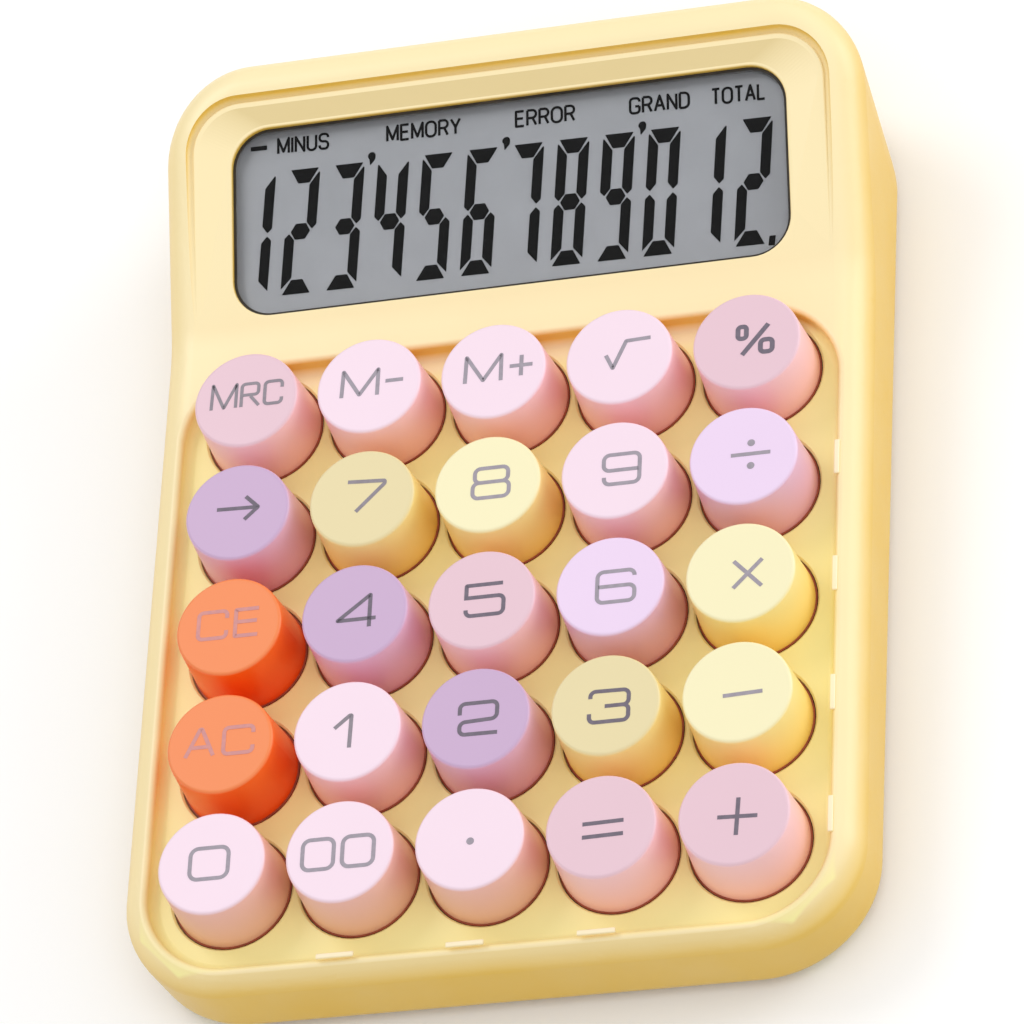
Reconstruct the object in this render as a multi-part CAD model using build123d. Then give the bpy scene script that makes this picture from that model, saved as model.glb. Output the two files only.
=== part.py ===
from build123d import *
import math
import os

# Desk calculator: a two-part plastic case, twenty-five round keys on sprung push switches,
# a liquid crystal display behind a clear window, and one AA cell behind a hatch in the base.
# The frame has +X to the right, +Y to the display, +Z up. The origin is on the desk, under the middle.

# Case, millimetres and degrees
WIDTH = 108.8
LENGTH = 150.4
FRONT_CORNER_BASE = 17.5
FRONT_CORNER_TOP = 8.5
BACK_CORNER_BASE = 21.0
BACK_CORNER_TOP = 8.0
CORNER_RISE = 48.0
WALL = 3.0
TOP_ROUND = 5.0
SKIRT_ROUND = 2.6
KEYPAD_TILT = 2.0
RIM_RISE = 15.6
PANEL_RISE = 13.3
KNEE_ROUND = 20.0
PANEL_RIM = 4.3
PANEL_BACK_RIM = 7.2
PANEL_FOOT_ROUND = 1.2
PANEL_WALL = 2.0
FIT = 0.2

# Key grid and the recess that it stands in
ROWS = 5
COLUMNS = 5
ROWS_SHARE = 0.7258
SIDE_MARGIN = 16.3
FRONT_MARGIN = 15.4
KNEE_MARGIN = 14.9
RECESS_DEPTH = 3.0
RECESS_SIDE = 11.9
RECESS_FRONT = 12.7
RECESS_BACK = 9.5
RECESS_CORNER = 12.0
RECESS_FOOT_ROUND = 1.2
RECESS_LIP_ROUND = 0.8
FLOOR = 1.8
HOLE_GAP = 0.4
HOLE_CHAMFER = 0.3

# Keycap
KEY_HEIGHT = 9.3
KEY_CLEARANCE = 0.925
KEY_TAPER = 0.65
KEY_EDGE_ROUND = 0.5
KEY_WALL = 1.3
KEY_ROOF = 1.6
KEY_SKIRT = 1.5
KEY_TRAVEL = 2.5
POST_RADIUS = 3.3
SOCKET_DEPTH = 3.0
CROSS_SPAN = 4.1
CROSS_ARM = 1.3
CROSS_FIT = 0.05

# Push switch
SKIRT_ROOM = 0.5
COVER_ROOF = 1.0
COVER_WALL = 0.7
COVER_GAP = 0.5
SWITCH_GAP = 5.45
BASE_FLOOR = 0.8
STEM_SIDE = 5.4
FLANGE_THICK = 0.8
STEM_FIT = 0.3
STOP_GAP = 0.2
SPRING_RADIUS = 1.8
SPRING_WALL = 0.35
SPRING_FIT = 0.2
TERMINAL_WIDTH = 1.0
TERMINAL_THICK = 0.4
TERMINAL_SPACING = 7.6
TERMINAL_PROUD = 1.0
TERMINAL_FIT = 0.15

# Circuit board and what is on it
BOARD_THICK = 1.4
BOARD_SIDE = 6.9
BOARD_FRONT = 8.4
BOARD_BACK = 19.0
BOARD_CLEARANCE = 0.6
CHIP_SIDE = 10.0
CHIP_HEIGHT = 1.6
CHIP_X = -12.0
PASSIVE_LENGTH = 3.2
PASSIVE_WIDTH = 1.6
PASSIVE_HEIGHT = 1.1
PASSIVE_STEP = 4.5
PASSIVE_COUNT = 6

# Display, measured up the slope from the knee
WINDOW_SIDE = 11.25
WINDOW_BACK = 12.4
WINDOW_CORNER = 6.0
WINDOW_START = 1.2
WINDOW_LIP = 0.8
WINDOW_EDGE_ROUND = 0.3
LENS_MARGIN = 1.2
LCD_MARGIN = 1.6
LCD_GAP = 0.2
LCD_THICK = 2.2
HOLDER_THICK = 1.2
EAR_RADIUS = 1.9
EAR_REACH = 2.0
EAR_SHARE = 0.545
RIBBON_WIDTH = 44.0
RIBBON_THICK = 0.3
RIBBON_LAP = 3.0

# Screws: one small size for board and display, one larger size for the case
SMALL_SHANK = 0.8
SMALL_HEAD = 1.7
SMALL_HEAD_HEIGHT = 1.1
SMALL_DRIVE = 2.2
SMALL_BITE = 3.5
SMALL_BOSS = 2.2
LARGE_SHANK = 1.2
LARGE_HEAD = 2.2
LARGE_HEAD_HEIGHT = 1.6
LARGE_DRIVE = 2.9
LARGE_BITE = 6.0
LARGE_BOSS = 2.7
THREAD_FIT = 0.05
HEAD_FIT = 0.2
HEAD_ROUND = 0.4
DRIVE_SLOT = 0.6
DRIVE_DEPTH = 0.6
CASE_SCREW_INSET = 6.4

# Base, feet, battery hatch and cell
BASE_COVER = 1.8
SCREW_PAD = 1.5
FOOT_RADIUS = 5.0
FOOT_PROUD = 1.0
FOOT_SEAT = 0.8
FOOT_SIDE_INSET = 15.0
FOOT_FRONT_INSET = 13.0
FOOT_BACK_INSET = 13.5
CELL_RADIUS = 7.25
CELL_LENGTH = 49.2
NUB_RADIUS = 2.6
NUB_LENGTH = 1.3
CELL_BACK_INSET = 13.2
CELL_LIFT = 0.5
BAY_FIT = 0.6
BAY_WALL = 1.4
BAY_HEIGHT = 9.0
CONTACT_THICK = 0.4
CONTACT_WIDTH = 9.0
CONTACT_SPRING = 2.6
CONTACT_TAB = 2.0
HATCH_FIT = 0.25
HATCH_TAB_WIDTH = 8.0
HATCH_TAB_REACH = 1.8
HATCH_TAB_THICK = 1.0
HATCH_TAB_SPACING = 36.0
GRIP_RIB = 0.5
GRIP_RIBS = 4
GRIP_STEP = 1.8
GRIP_WIDTH = 14.0
LEAD_RADIUS = 0.6
LEAD_BEND = 2.5

# Heights in the keypad frame, whose zero is the key tops
TRAVEL_ROOM = KEY_TRAVEL + STOP_GAP
FLOOR_TOP = -KEY_HEIGHT
FLOOR_UNDER = FLOOR_TOP - FLOOR
RIM_TOP = FLOOR_TOP + RECESS_DEPTH
SKIRT_END = FLOOR_TOP - KEY_SKIRT
COVER_TOP = FLOOR_UNDER - COVER_GAP
COVER_CEILING = COVER_TOP - COVER_ROOF
FLANGE_TOP = COVER_CEILING - STOP_GAP / 2
FLANGE_END = FLANGE_TOP - FLANGE_THICK
BASE_INSIDE = FLANGE_END - TRAVEL_ROOM
BOARD_TOP = BASE_INSIDE - BASE_FLOOR
BOARD_END = BOARD_TOP - BOARD_THICK
BASE_TOP = SKIRT_END - TRAVEL_ROOM - STOP_GAP
POST_END = COVER_TOP + TRAVEL_ROOM
SOCKET_TOP = POST_END + SOCKET_DEPTH
STEM_SHOULDER = POST_END - STOP_GAP
STEM_BORE_TOP = STEM_SHOULDER - COVER_ROOF
LOWEST_PIN = BOARD_END - max(TERMINAL_PROUD, SMALL_HEAD_HEIGHT)

# The display panel leaves the knee's arc where the arc has the panel's slope
TILT = math.radians(KEYPAD_TILT)
SLOPE = math.radians(KEYPAD_TILT + PANEL_RISE)
ARC_START = KNEE_MARGIN - KNEE_ROUND * math.tan(math.radians(RIM_RISE) / 2)
PANEL_START = ARC_START + KNEE_ROUND * math.sin(math.radians(PANEL_RISE))
PANEL_Z = RIM_TOP + KNEE_ROUND * (1 - math.cos(math.radians(PANEL_RISE)))

# Key rows and window share the length that the margins leave, and key columns share the width
KNEE_RUN = PANEL_START * math.cos(TILT) - PANEL_Z * math.sin(TILT)
MARGIN_RUN = (WINDOW_START + WINDOW_BACK) * math.cos(SLOPE)
FREE_RUN = LENGTH - FRONT_MARGIN - KNEE_RUN - MARGIN_RUN
ROW_PITCH = ROWS_SHARE * FREE_RUN / ((ROWS - 1) * math.cos(TILT))
COLUMN_PITCH = (WIDTH - 2 * SIDE_MARGIN) / (COLUMNS - 1)

# Keys and switches take their size from the closer pitch
KEY_STEP = min(ROW_PITCH, COLUMN_PITCH)
KEY_FOOT_RADIUS = KEY_STEP / 2 - KEY_CLEARANCE
KEY_TOP_RADIUS = KEY_FOOT_RADIUS - KEY_TAPER
COVER_SIDE = math.sqrt(2) * (KEY_FOOT_RADIUS - KEY_WALL - SKIRT_ROOM)
BASE_SIDE = KEY_STEP - SWITCH_GAP

# Places in the keypad frame, measured from the middle of the key grid
HALF_ROWS = (ROWS - 1) / 2 * ROW_PITCH
HALF_COLUMNS = (COLUMNS - 1) / 2 * COLUMN_PITCH
RECESS_END = HALF_ROWS + RECESS_BACK
KNEE = HALF_ROWS + KNEE_MARGIN
BOARD_BACK_END = HALF_ROWS + BOARD_BACK
FAR = 2 * (WIDTH + LENGTH)

# Limits that pick edges: a near touch, and the slopes of an upright edge and of one that runs across
TOUCH = 0.01
UPRIGHT = 0.9
ACROSS = 0.99

# The keypad frame lies so that the board hardware just clears the base at the front row
GRID_Y = -LENGTH / 2 + FRONT_MARGIN + HALF_ROWS * math.cos(TILT)
FRONT_EDGE = HALF_ROWS + BASE_SIDE / 2
COVER_INSIDE = FOOT_PROUD + BASE_COVER
GRID_Z = COVER_INSIDE + BOARD_CLEARANCE + FRONT_EDGE * math.sin(TILT) - LOWEST_PIN * math.cos(TILT)
KEYPAD = Location((0, GRID_Y, GRID_Z), (KEYPAD_TILT, 0, 0))

# The panel's frame lies on the slope, with its zero where the knee's arc ends
PANEL_Y = HALF_ROWS + PANEL_START
PANEL = KEYPAD * Location((0, PANEL_Y, PANEL_Z), (PANEL_RISE, 0, 0))
WINDOW_WIDTH = WIDTH - 2 * WINDOW_SIDE
WINDOW_HEIGHT = (1 - ROWS_SHARE) * FREE_RUN / math.cos(SLOPE)
PANEL_END = PANEL * Location((0, WINDOW_START + WINDOW_HEIGHT + WINDOW_BACK, 0))
WINDOW_MIDDLE = WINDOW_START + WINDOW_HEIGHT / 2
LCD_TOP = -PANEL_WALL - LCD_GAP
LCD_END = LCD_TOP - LCD_THICK
HOLDER_END = LCD_END - HOLDER_THICK
LCD_WIDTH = WINDOW_WIDTH + 2 * LCD_MARGIN
LCD_HEIGHT = WINDOW_HEIGHT + 2 * LCD_MARGIN
EAR_SPACING = EAR_SHARE * LCD_HEIGHT

# Places of the cell and its bay, on the desk
BAY_LENGTH = CELL_LENGTH + NUB_LENGTH + CONTACT_SPRING + 2 * CONTACT_THICK
BAY_WIDTH = 2 * (CELL_RADIUS + BAY_FIT)
BAY_TOP = COVER_INSIDE + BAY_HEIGHT
CELL_Y = LENGTH / 2 - CELL_BACK_INSET
CELL_Z = COVER_INSIDE + CELL_LIFT + CELL_RADIUS
CELL_FLAT = -BAY_LENGTH / 2 + CONTACT_THICK + CONTACT_SPRING
CELL_TIP = CELL_FLAT + CELL_LENGTH + NUB_LENGTH
HATCH_LENGTH = BAY_LENGTH - 2 * HATCH_FIT
HATCH_WIDTH = BAY_WIDTH - 2 * HATCH_FIT
HATCH_BEAD = BASE_COVER / 2
HATCH_AXIS = CELL_Y - HATCH_WIDTH / 2 + HATCH_BEAD

KEY_NAMES = (
    ("memory_recall", "memory_minus", "memory_plus", "square_root", "percent"),
    ("backspace", "7", "8", "9", "divide"),
    ("clear_entry", "4", "5", "6", "multiply"),
    ("all_clear", "1", "2", "3", "minus"),
    ("0", "00", "decimal", "equals", "plus"),
)
UP = (Align.CENTER, Align.CENTER, Align.MIN)


def block(width, depth, low, high, x=0.0, y=0.0):
    """A box between two heights, centred on a point of the plan."""
    return Pos(x, y, low) * Box(width, depth, high - low, align=UP)


def column(radius, low, high, x=0.0, y=0.0):
    """A round column between two heights."""
    return Pos(x, y, low) * Cylinder(radius, high - low, align=UP)


def key_places():
    """Name and place of every key, the back row first."""
    for row, names in enumerate(KEY_NAMES):
        for col, name in enumerate(names):
            yield name, col * COLUMN_PITCH - HALF_COLUMNS, HALF_ROWS - row * ROW_PITCH


def plan_outline(inset, height):
    """The case's outline at one height, drawn in evenly by an inset. The corners are rounder lower down."""
    share = (height - FOOT_PROUD) / CORNER_RISE
    front = FRONT_CORNER_BASE + share * (FRONT_CORNER_TOP - FRONT_CORNER_BASE)
    back = BACK_CORNER_BASE + share * (BACK_CORNER_TOP - BACK_CORNER_BASE)
    half = WIDTH / 2 - inset
    end = LENGTH / 2 - inset
    face = make_face(Polyline((-half, -end), (half, -end), (half, end), (-half, end), close=True))
    face = fillet(face.vertices().group_by(Axis.Y)[0], front - inset)
    return fillet(face.vertices().group_by(Axis.Y)[-1], back - inset)


def plan_prism(inset, height, low, high):
    """A straight prism on the outline that the case has at one height."""
    return Pos(0, 0, low) * extrude(plan_outline(inset, height), amount=high - low)


def plan_body(inset):
    """The case's plan through its height, from the base up to well above the top."""
    ends = [Pos(0, 0, z) * plan_outline(inset, z) for z in (FOOT_PROUD, FOOT_PROUD + CORNER_RISE)]
    return loft(ends, ruled=True)


def side_prism(*points):
    """A prism across the case from a side outline in the keypad frame."""
    outline = make_face(Polyline(*points, close=True))
    return KEYPAD * extrude(Plane.YZ * outline, amount=WIDTH, both=True)


def panel_height(along):
    """Height of the panel's plane in the keypad frame."""
    return PANEL_Z + (along - PANEL_Y) * math.tan(math.radians(PANEL_RISE))


def case_screw_places():
    """Plan places of the case screws: between key rows at both ends, and beside the display."""
    between = (HALF_ROWS - ROW_PITCH / 2) * math.cos(TILT)
    display = PANEL * Location((0, WINDOW_MIDDLE, HOLDER_END))
    for y in (GRID_Y - between, GRID_Y + between, display.position.Y):
        for side in (-1, 1):
            yield side * (WIDTH / 2 - CASE_SCREW_INSET), y


def board_screw_places():
    """Board screws stand between four switches, near the corners and beside the middle."""
    x = COLUMN_PITCH / 2
    y = ROW_PITCH / 2
    return [(-3 * x, -3 * y), (3 * x, -3 * y), (-3 * x, 3 * y), (3 * x, 3 * y), (-x, y), (x, y)]


def ear_places():
    """Display holder screws in the panel's frame."""
    reach = LCD_WIDTH / 2 + EAR_REACH
    for side in (-1, 1):
        for step in (-0.5, 0.5):
            yield side * reach, WINDOW_MIDDLE + step * EAR_SPACING


def terminal_places():
    for name, x, y in key_places():
        for side in (-1, 1):
            yield x + side * TERMINAL_SPACING / 2, y


def rounded_body():
    """The case's outside as one full solid: plan outline, sloping top and rounded edges."""
    top = make_face(Polyline(
        (-FAR, -FAR), (-FAR, RIM_TOP), (KNEE, RIM_TOP),
        (KNEE + FAR, RIM_TOP + FAR * math.tan(math.radians(RIM_RISE))), (KNEE + FAR, -FAR), close=True))
    knee = top.vertices().sort_by_distance((KNEE, RIM_TOP))[0]
    top = fillet(knee, KNEE_ROUND)
    body = plan_body(0) & (KEYPAD * extrude(Plane.YZ * top, amount=WIDTH, both=True))
    knee_y = GRID_Y + KNEE
    rim = []
    for edge in body.edges():
        middle = edge.position_at(0.5)
        upright = abs(edge.tangent_at(0.5).Z) > UPRIGHT
        across = abs(edge.tangent_at(0.5).X) > ACROSS and abs(middle.Y - knee_y) < KNEE_ROUND
        low = edge.bounding_box().max.Z < FOOT_PROUD + SKIRT_ROUND
        if not (upright or across or low):
            rim.append(edge)
    body = fillet(rim, TOP_ROUND)
    return fillet(body.edges().group_by(Axis.Z)[0], SKIRT_ROUND)


def edges_along(body, place, outline, lowest):
    """Edges of a body that follow an outline drawn in a tilted frame, above a height of that frame."""
    found = []
    for edge in body.edges():
        points = [(place.inverse() * Location(edge.position_at(share))).position for share in (0, 0.5, 1)]
        high = all(point.Z > lowest for point in points)
        near = all(outline.wire().distance_to(Vector(point.X, point.Y)) < TOUCH for point in points)
        if high and near:
            found.append(edge)
    return found


def recess_outline():
    width = 2 * (HALF_COLUMNS + RECESS_SIDE)
    depth = 2 * HALF_ROWS + RECESS_FRONT + RECESS_BACK
    return Pos(0, (RECESS_BACK - RECESS_FRONT) / 2) * RectangleRounded(width, depth, RECESS_CORNER)


def recess_tool():
    """The sunk keypad floor with its rounded foot."""
    tool = Pos(0, 0, FLOOR_TOP) * extrude(recess_outline(), amount=FAR / 4)
    return KEYPAD * fillet(tool.edges().group_by(Axis.Z)[0], RECESS_FOOT_ROUND)


def panel_tool():
    """The sunk display panel: nothing at the knee, deepest at the back."""
    back = PANEL_Y + LENGTH
    wedge = side_prism((PANEL_Y, PANEL_Z), (back, panel_height(back)), (back, FAR), (PANEL_Y, FAR))
    plan = plan_prism(PANEL_RIM, PANEL_END.position.Z, FOOT_PROUD, FAR)
    tool = (Pos(0, PANEL_RIM - PANEL_BACK_RIM, 0) * plan) & wedge
    foot = []
    for edge in tool.edges():
        ends = [(PANEL.inverse() * Location(edge.position_at(share))).position for share in (0, 0.5, 1)]
        on_panel = all(abs(point.Z) < TOUCH for point in ends)
        if on_panel and any(point.Y > TOUCH for point in ends):
            foot.append(edge)
    return fillet(foot, PANEL_FOOT_ROUND)


def hole_tools():
    radius = KEY_FOOT_RADIUS + HOLE_GAP
    hole = column(radius, FLOOR_UNDER - FLOOR, FLOOR_TOP + FLOOR)
    flare = Cone(radius, radius + 2 * HOLE_CHAMFER, 2 * HOLE_CHAMFER, align=UP)
    hole += Pos(0, 0, FLOOR_TOP - HOLE_CHAMFER) * flare
    return [KEYPAD * (Pos(x, y, 0) * hole) for name, x, y in key_places()]


def hollow_tool():
    """The room inside the case, under the keypad floor and the display panel."""
    step = RECESS_END + WALL
    under = PANEL_WALL / math.cos(math.radians(PANEL_RISE))
    end = PANEL_Y + LENGTH
    room = side_prism(
        (-FAR, -FAR), (-FAR, FLOOR_UNDER), (step, FLOOR_UNDER), (step, panel_height(step) - under),
        (end, panel_height(end) - under), (end, -FAR))
    return plan_body(WALL) & room


def boss_solids():
    """Screw bosses: case screws from the base, board screws and display screws."""
    large = [column(LARGE_BOSS, COVER_INSIDE + SCREW_PAD, FAR / 4, x, y) for x, y in case_screw_places()]
    board = [KEYPAD * column(SMALL_BOSS, BOARD_TOP, FLOOR_TOP, x, y) for x, y in board_screw_places()]
    ears = [PANEL * column(EAR_RADIUS, LCD_END, 0, x, y) for x, y in ear_places()]
    return large + board + ears


def pilot_tools():
    large_top = COVER_INSIDE + SCREW_PAD + LARGE_BITE + THREAD_FIT
    radius = LARGE_SHANK + THREAD_FIT
    small = SMALL_SHANK + THREAD_FIT
    large = [column(radius, 0, large_top, x, y) for x, y in case_screw_places()]
    bite = BOARD_TOP + SMALL_BITE + THREAD_FIT
    board = [KEYPAD * column(small, BOARD_END, bite, x, y) for x, y in board_screw_places()]
    ears = [PANEL * column(small, HOLDER_END, LCD_TOP, x, y) for x, y in ear_places()]
    return large + board + ears


def window_outline(margin):
    width = WINDOW_WIDTH + 2 * margin
    height = WINDOW_HEIGHT + 2 * margin
    return Pos(0, WINDOW_MIDDLE) * RectangleRounded(width, height, WINDOW_CORNER + margin)


def window_plate(margin, low, high):
    """A rounded plate over the window, grown by a margin, between two depths of the panel."""
    return PANEL * (Pos(0, 0, low) * extrude(window_outline(margin), amount=high - low))


def top_housing():
    outside = rounded_body() - recess_tool() - panel_tool()
    lip = edges_along(outside, KEYPAD, recess_outline(), FLOOR_TOP + RECESS_FOOT_ROUND + TOUCH)
    outside = fillet([edge for edge in lip if abs(edge.tangent_at(0.5).Z) < UPRIGHT], RECESS_LIP_ROUND)
    housing = outside - hollow_tool()
    housing += [boss & outside for boss in boss_solids()]
    housing -= hole_tools()
    housing -= [window_plate(0, -2 * PANEL_WALL, PANEL_WALL)]
    housing -= [window_plate(LENS_MARGIN + FIT, -2 * PANEL_WALL, -WINDOW_LIP)]
    housing = fillet(edges_along(housing, PANEL, window_outline(0), -TOUCH), WINDOW_EDGE_ROUND)
    housing -= pilot_tools()
    return housing


def keycap():
    """Tapered round cap with a hollow skirt, and a post with a cross socket for the stem."""
    profile = make_face(Polyline(
        (0, SKIRT_END), (KEY_FOOT_RADIUS, SKIRT_END), (KEY_FOOT_RADIUS, FLOOR_TOP),
        (KEY_TOP_RADIUS, 0), (0, 0), close=True))
    cap = revolve(Plane.XZ * profile, axis=Axis.Z)
    cap = fillet(cap.edges().group_by(Axis.Z)[-1], KEY_EDGE_ROUND)
    inner = make_face(Polyline(
        (0, SKIRT_END), (KEY_FOOT_RADIUS - KEY_WALL, SKIRT_END), (KEY_FOOT_RADIUS - KEY_WALL, FLOOR_TOP),
        (KEY_TOP_RADIUS - KEY_WALL, -KEY_ROOF), (0, -KEY_ROOF), close=True))
    cap -= revolve(Plane.XZ * inner, axis=Axis.Z)
    cap += column(POST_RADIUS, POST_END, -KEY_ROOF / 2)
    return cap - cross(CROSS_FIT, POST_END, SOCKET_TOP)


def cross(spare, low, high):
    """A plus-shaped post, grown by a fit for its socket."""
    span = CROSS_SPAN + 2 * spare
    arm = CROSS_ARM + 2 * spare
    return block(span, arm, low, high) + block(arm, span, low, high)


def stem():
    """Switch stem: cross on top, square column, stop flange, and a bore for the spring."""
    flange = COVER_SIDE - 2 * COVER_WALL - 2 * STEM_FIT
    body = cross(0, STEM_SHOULDER, SOCKET_TOP)
    body += block(STEM_SIDE, STEM_SIDE, FLANGE_END, STEM_SHOULDER)
    body += block(flange, flange, FLANGE_END, FLANGE_TOP)
    return body - column(SPRING_RADIUS + SPRING_FIT, FLANGE_END, STEM_BORE_TOP)


def switch_base():
    room = COVER_SIDE - 2 * COVER_WALL
    return block(BASE_SIDE, BASE_SIDE, BOARD_TOP, BASE_TOP) - block(room, room, BASE_INSIDE, BASE_TOP)


def switch_cover():
    room = COVER_SIDE - 2 * COVER_WALL
    mouth = STEM_SIDE + 2 * STEM_FIT
    cover = block(COVER_SIDE, COVER_SIDE, BASE_TOP, COVER_TOP)
    cover -= block(room, room, BASE_TOP, COVER_CEILING)
    return cover - block(mouth, mouth, COVER_CEILING, COVER_TOP)


def switch_spring():
    """The return spring's space: a sleeve of the coil's outside and wire size."""
    sleeve = column(SPRING_RADIUS, BASE_INSIDE, STEM_BORE_TOP)
    return sleeve - column(SPRING_RADIUS - SPRING_WALL, BASE_INSIDE, STEM_BORE_TOP)


def on_keypad(piece):
    """One copy of a piece under every key."""
    return [KEYPAD * (Pos(x, y, 0) * piece) for name, x, y in key_places()]


def circuit_board():
    width = 2 * (HALF_COLUMNS + BOARD_SIDE)
    depth = 2 * HALF_ROWS + BOARD_FRONT + BOARD_BACK
    board = block(width, depth, BOARD_END, BOARD_TOP, 0, (BOARD_BACK - BOARD_FRONT) / 2)
    slot = 2 * TERMINAL_FIT
    holes = [block(TERMINAL_WIDTH + slot, TERMINAL_THICK + slot, BOARD_END, BOARD_TOP, x, y)
             for x, y in terminal_places()]
    holes += [column(SMALL_SHANK + FIT, BOARD_END, BOARD_TOP, x, y) for x, y in board_screw_places()]
    return KEYPAD * (board - holes)


def controller_chip():
    place = BOARD_BACK_END - CHIP_SIDE / 2 - FIT
    return KEYPAD * block(CHIP_SIDE, CHIP_SIDE, BOARD_END - CHIP_HEIGHT, BOARD_END, CHIP_X, place)


def board_passives():
    """Resistors and capacitors in a row beside the chip, under the board."""
    start = CHIP_X + CHIP_SIDE / 2 + PASSIVE_STEP
    place = BOARD_BACK_END - CHIP_SIDE / 2 - FIT
    low = BOARD_END - PASSIVE_HEIGHT
    return [KEYPAD * block(PASSIVE_WIDTH, PASSIVE_LENGTH, low, BOARD_END, start + i * PASSIVE_STEP, place)
            for i in range(PASSIVE_COUNT)]


def switch_terminals():
    pin = block(TERMINAL_WIDTH, TERMINAL_THICK, BOARD_END - TERMINAL_PROUD, BOARD_TOP)
    return [KEYPAD * (Pos(x, y, 0) * pin) for x, y in terminal_places()]


def pan_screw(shank, head, head_height, drive, length):
    """Screw pointing up: head below zero, shank above it, cross drive in the head."""
    body = column(head, -head_height, 0)
    body = fillet(body.edges().group_by(Axis.Z)[0], HEAD_ROUND)
    body += column(shank, 0, length)
    depth = DRIVE_DEPTH - head_height
    body -= block(drive, DRIVE_SLOT, -head_height, depth)
    return body - block(DRIVE_SLOT, drive, -head_height, depth)


def board_screws():
    screw = pan_screw(SMALL_SHANK, SMALL_HEAD, SMALL_HEAD_HEIGHT, SMALL_DRIVE, BOARD_THICK + SMALL_BITE)
    return [KEYPAD * (Pos(x, y, BOARD_END) * screw) for x, y in board_screw_places()]


def display_screws():
    length = HOLDER_THICK + LCD_THICK - STOP_GAP
    screw = pan_screw(SMALL_SHANK, SMALL_HEAD, SMALL_HEAD_HEIGHT, SMALL_DRIVE, length)
    return [PANEL * (Pos(x, y, HOLDER_END) * screw) for x, y in ear_places()]


def case_screws():
    seat = FOOT_PROUD + LARGE_HEAD_HEIGHT + HEAD_FIT
    length = COVER_INSIDE + SCREW_PAD - seat + LARGE_BITE
    screw = pan_screw(LARGE_SHANK, LARGE_HEAD, LARGE_HEAD_HEIGHT, LARGE_DRIVE, length)
    return [Pos(x, y, seat) * screw for x, y in case_screw_places()]


def display_window():
    return window_plate(LENS_MARGIN, -PANEL_WALL, -WINDOW_LIP)


def lcd_panel():
    return PANEL * block(LCD_WIDTH, LCD_HEIGHT, LCD_END, LCD_TOP, 0, WINDOW_MIDDLE)


def display_holder():
    """Back plate that presses the display up against the window, with four screw ears."""
    plate = block(LCD_WIDTH, LCD_HEIGHT, HOLDER_END, LCD_END, 0, WINDOW_MIDDLE)
    for x, y in ear_places():
        inner = math.copysign(LCD_WIDTH / 2 - EAR_RADIUS, x)
        plate += column(EAR_RADIUS, HOLDER_END, LCD_END, x, y)
        plate += block(abs(x - inner), 2 * EAR_RADIUS, HOLDER_END, LCD_END, (x + inner) / 2, y)
    holes = [column(SMALL_SHANK + THREAD_FIT, HOLDER_END, LCD_END, x, y) for x, y in ear_places()]
    return PANEL * (plate - holes)


def display_ribbon():
    """Flat flexible cable from the display's front edge down to the board."""
    edge = PANEL * Location((0, WINDOW_MIDDLE - LCD_HEIGHT / 2, (LCD_TOP + LCD_END) / 2))
    local = (KEYPAD.inverse() * edge).position
    land = BOARD_TOP + RIBBON_THICK / 2
    half = RIBBON_THICK / 2
    start = (local.Y - half, local.Z)
    low = (local.Y - half, land)
    end = (local.Y - half - RIBBON_LAP, land)
    path = FilletPolyline(start, low, end, radius=3 * RIBBON_THICK)
    strip = trace(path, line_width=RIBBON_THICK)
    return KEYPAD * extrude(Plane.YZ * strip, amount=RIBBON_WIDTH / 2, both=True)


def base_cover():
    """Flat base inside the skirt, with screw pads, foot seats and the battery bay's walls."""
    cover = plan_prism(WALL + FIT, FOOT_PROUD, FOOT_PROUD, COVER_INSIDE)
    edge = plan_prism(WALL + FIT, FOOT_PROUD, FOOT_PROUD, FAR / 4)
    pad_top = COVER_INSIDE + SCREW_PAD
    cover += [column(LARGE_BOSS, COVER_INSIDE, pad_top, x, y) & edge for x, y in case_screw_places()]
    cover += block(BAY_LENGTH + 2 * BAY_WALL, BAY_WIDTH + 2 * BAY_WALL, COVER_INSIDE, BAY_TOP, 0, CELL_Y)
    cover -= block(BAY_LENGTH, BAY_WIDTH, FOOT_PROUD, BAY_TOP, 0, CELL_Y)
    front = CELL_Y - BAY_WIDTH / 2
    mouth_width = HATCH_TAB_WIDTH + 2 * HATCH_FIT
    mouth_top = COVER_INSIDE + HATCH_TAB_REACH + 2 * HATCH_TAB_THICK
    for x in hatch_tab_places():
        cover -= block(mouth_width, 4 * HATCH_TAB_REACH, COVER_INSIDE, mouth_top, x, front)
    head = LARGE_HEAD + HEAD_FIT
    seat = FOOT_PROUD + LARGE_HEAD_HEIGHT + HEAD_FIT
    cover -= [column(head, FOOT_PROUD, seat, x, y) for x, y in case_screw_places()]
    cover -= [column(LARGE_SHANK + FIT, FOOT_PROUD, FAR / 4, x, y) for x, y in case_screw_places()]
    cover -= [column(FOOT_RADIUS + FIT, FOOT_PROUD, FOOT_PROUD + FOOT_SEAT, x, y) for x, y in foot_places()]
    return cover


def hatch_tab_places():
    return (-HATCH_TAB_SPACING / 2, HATCH_TAB_SPACING / 2)


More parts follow.
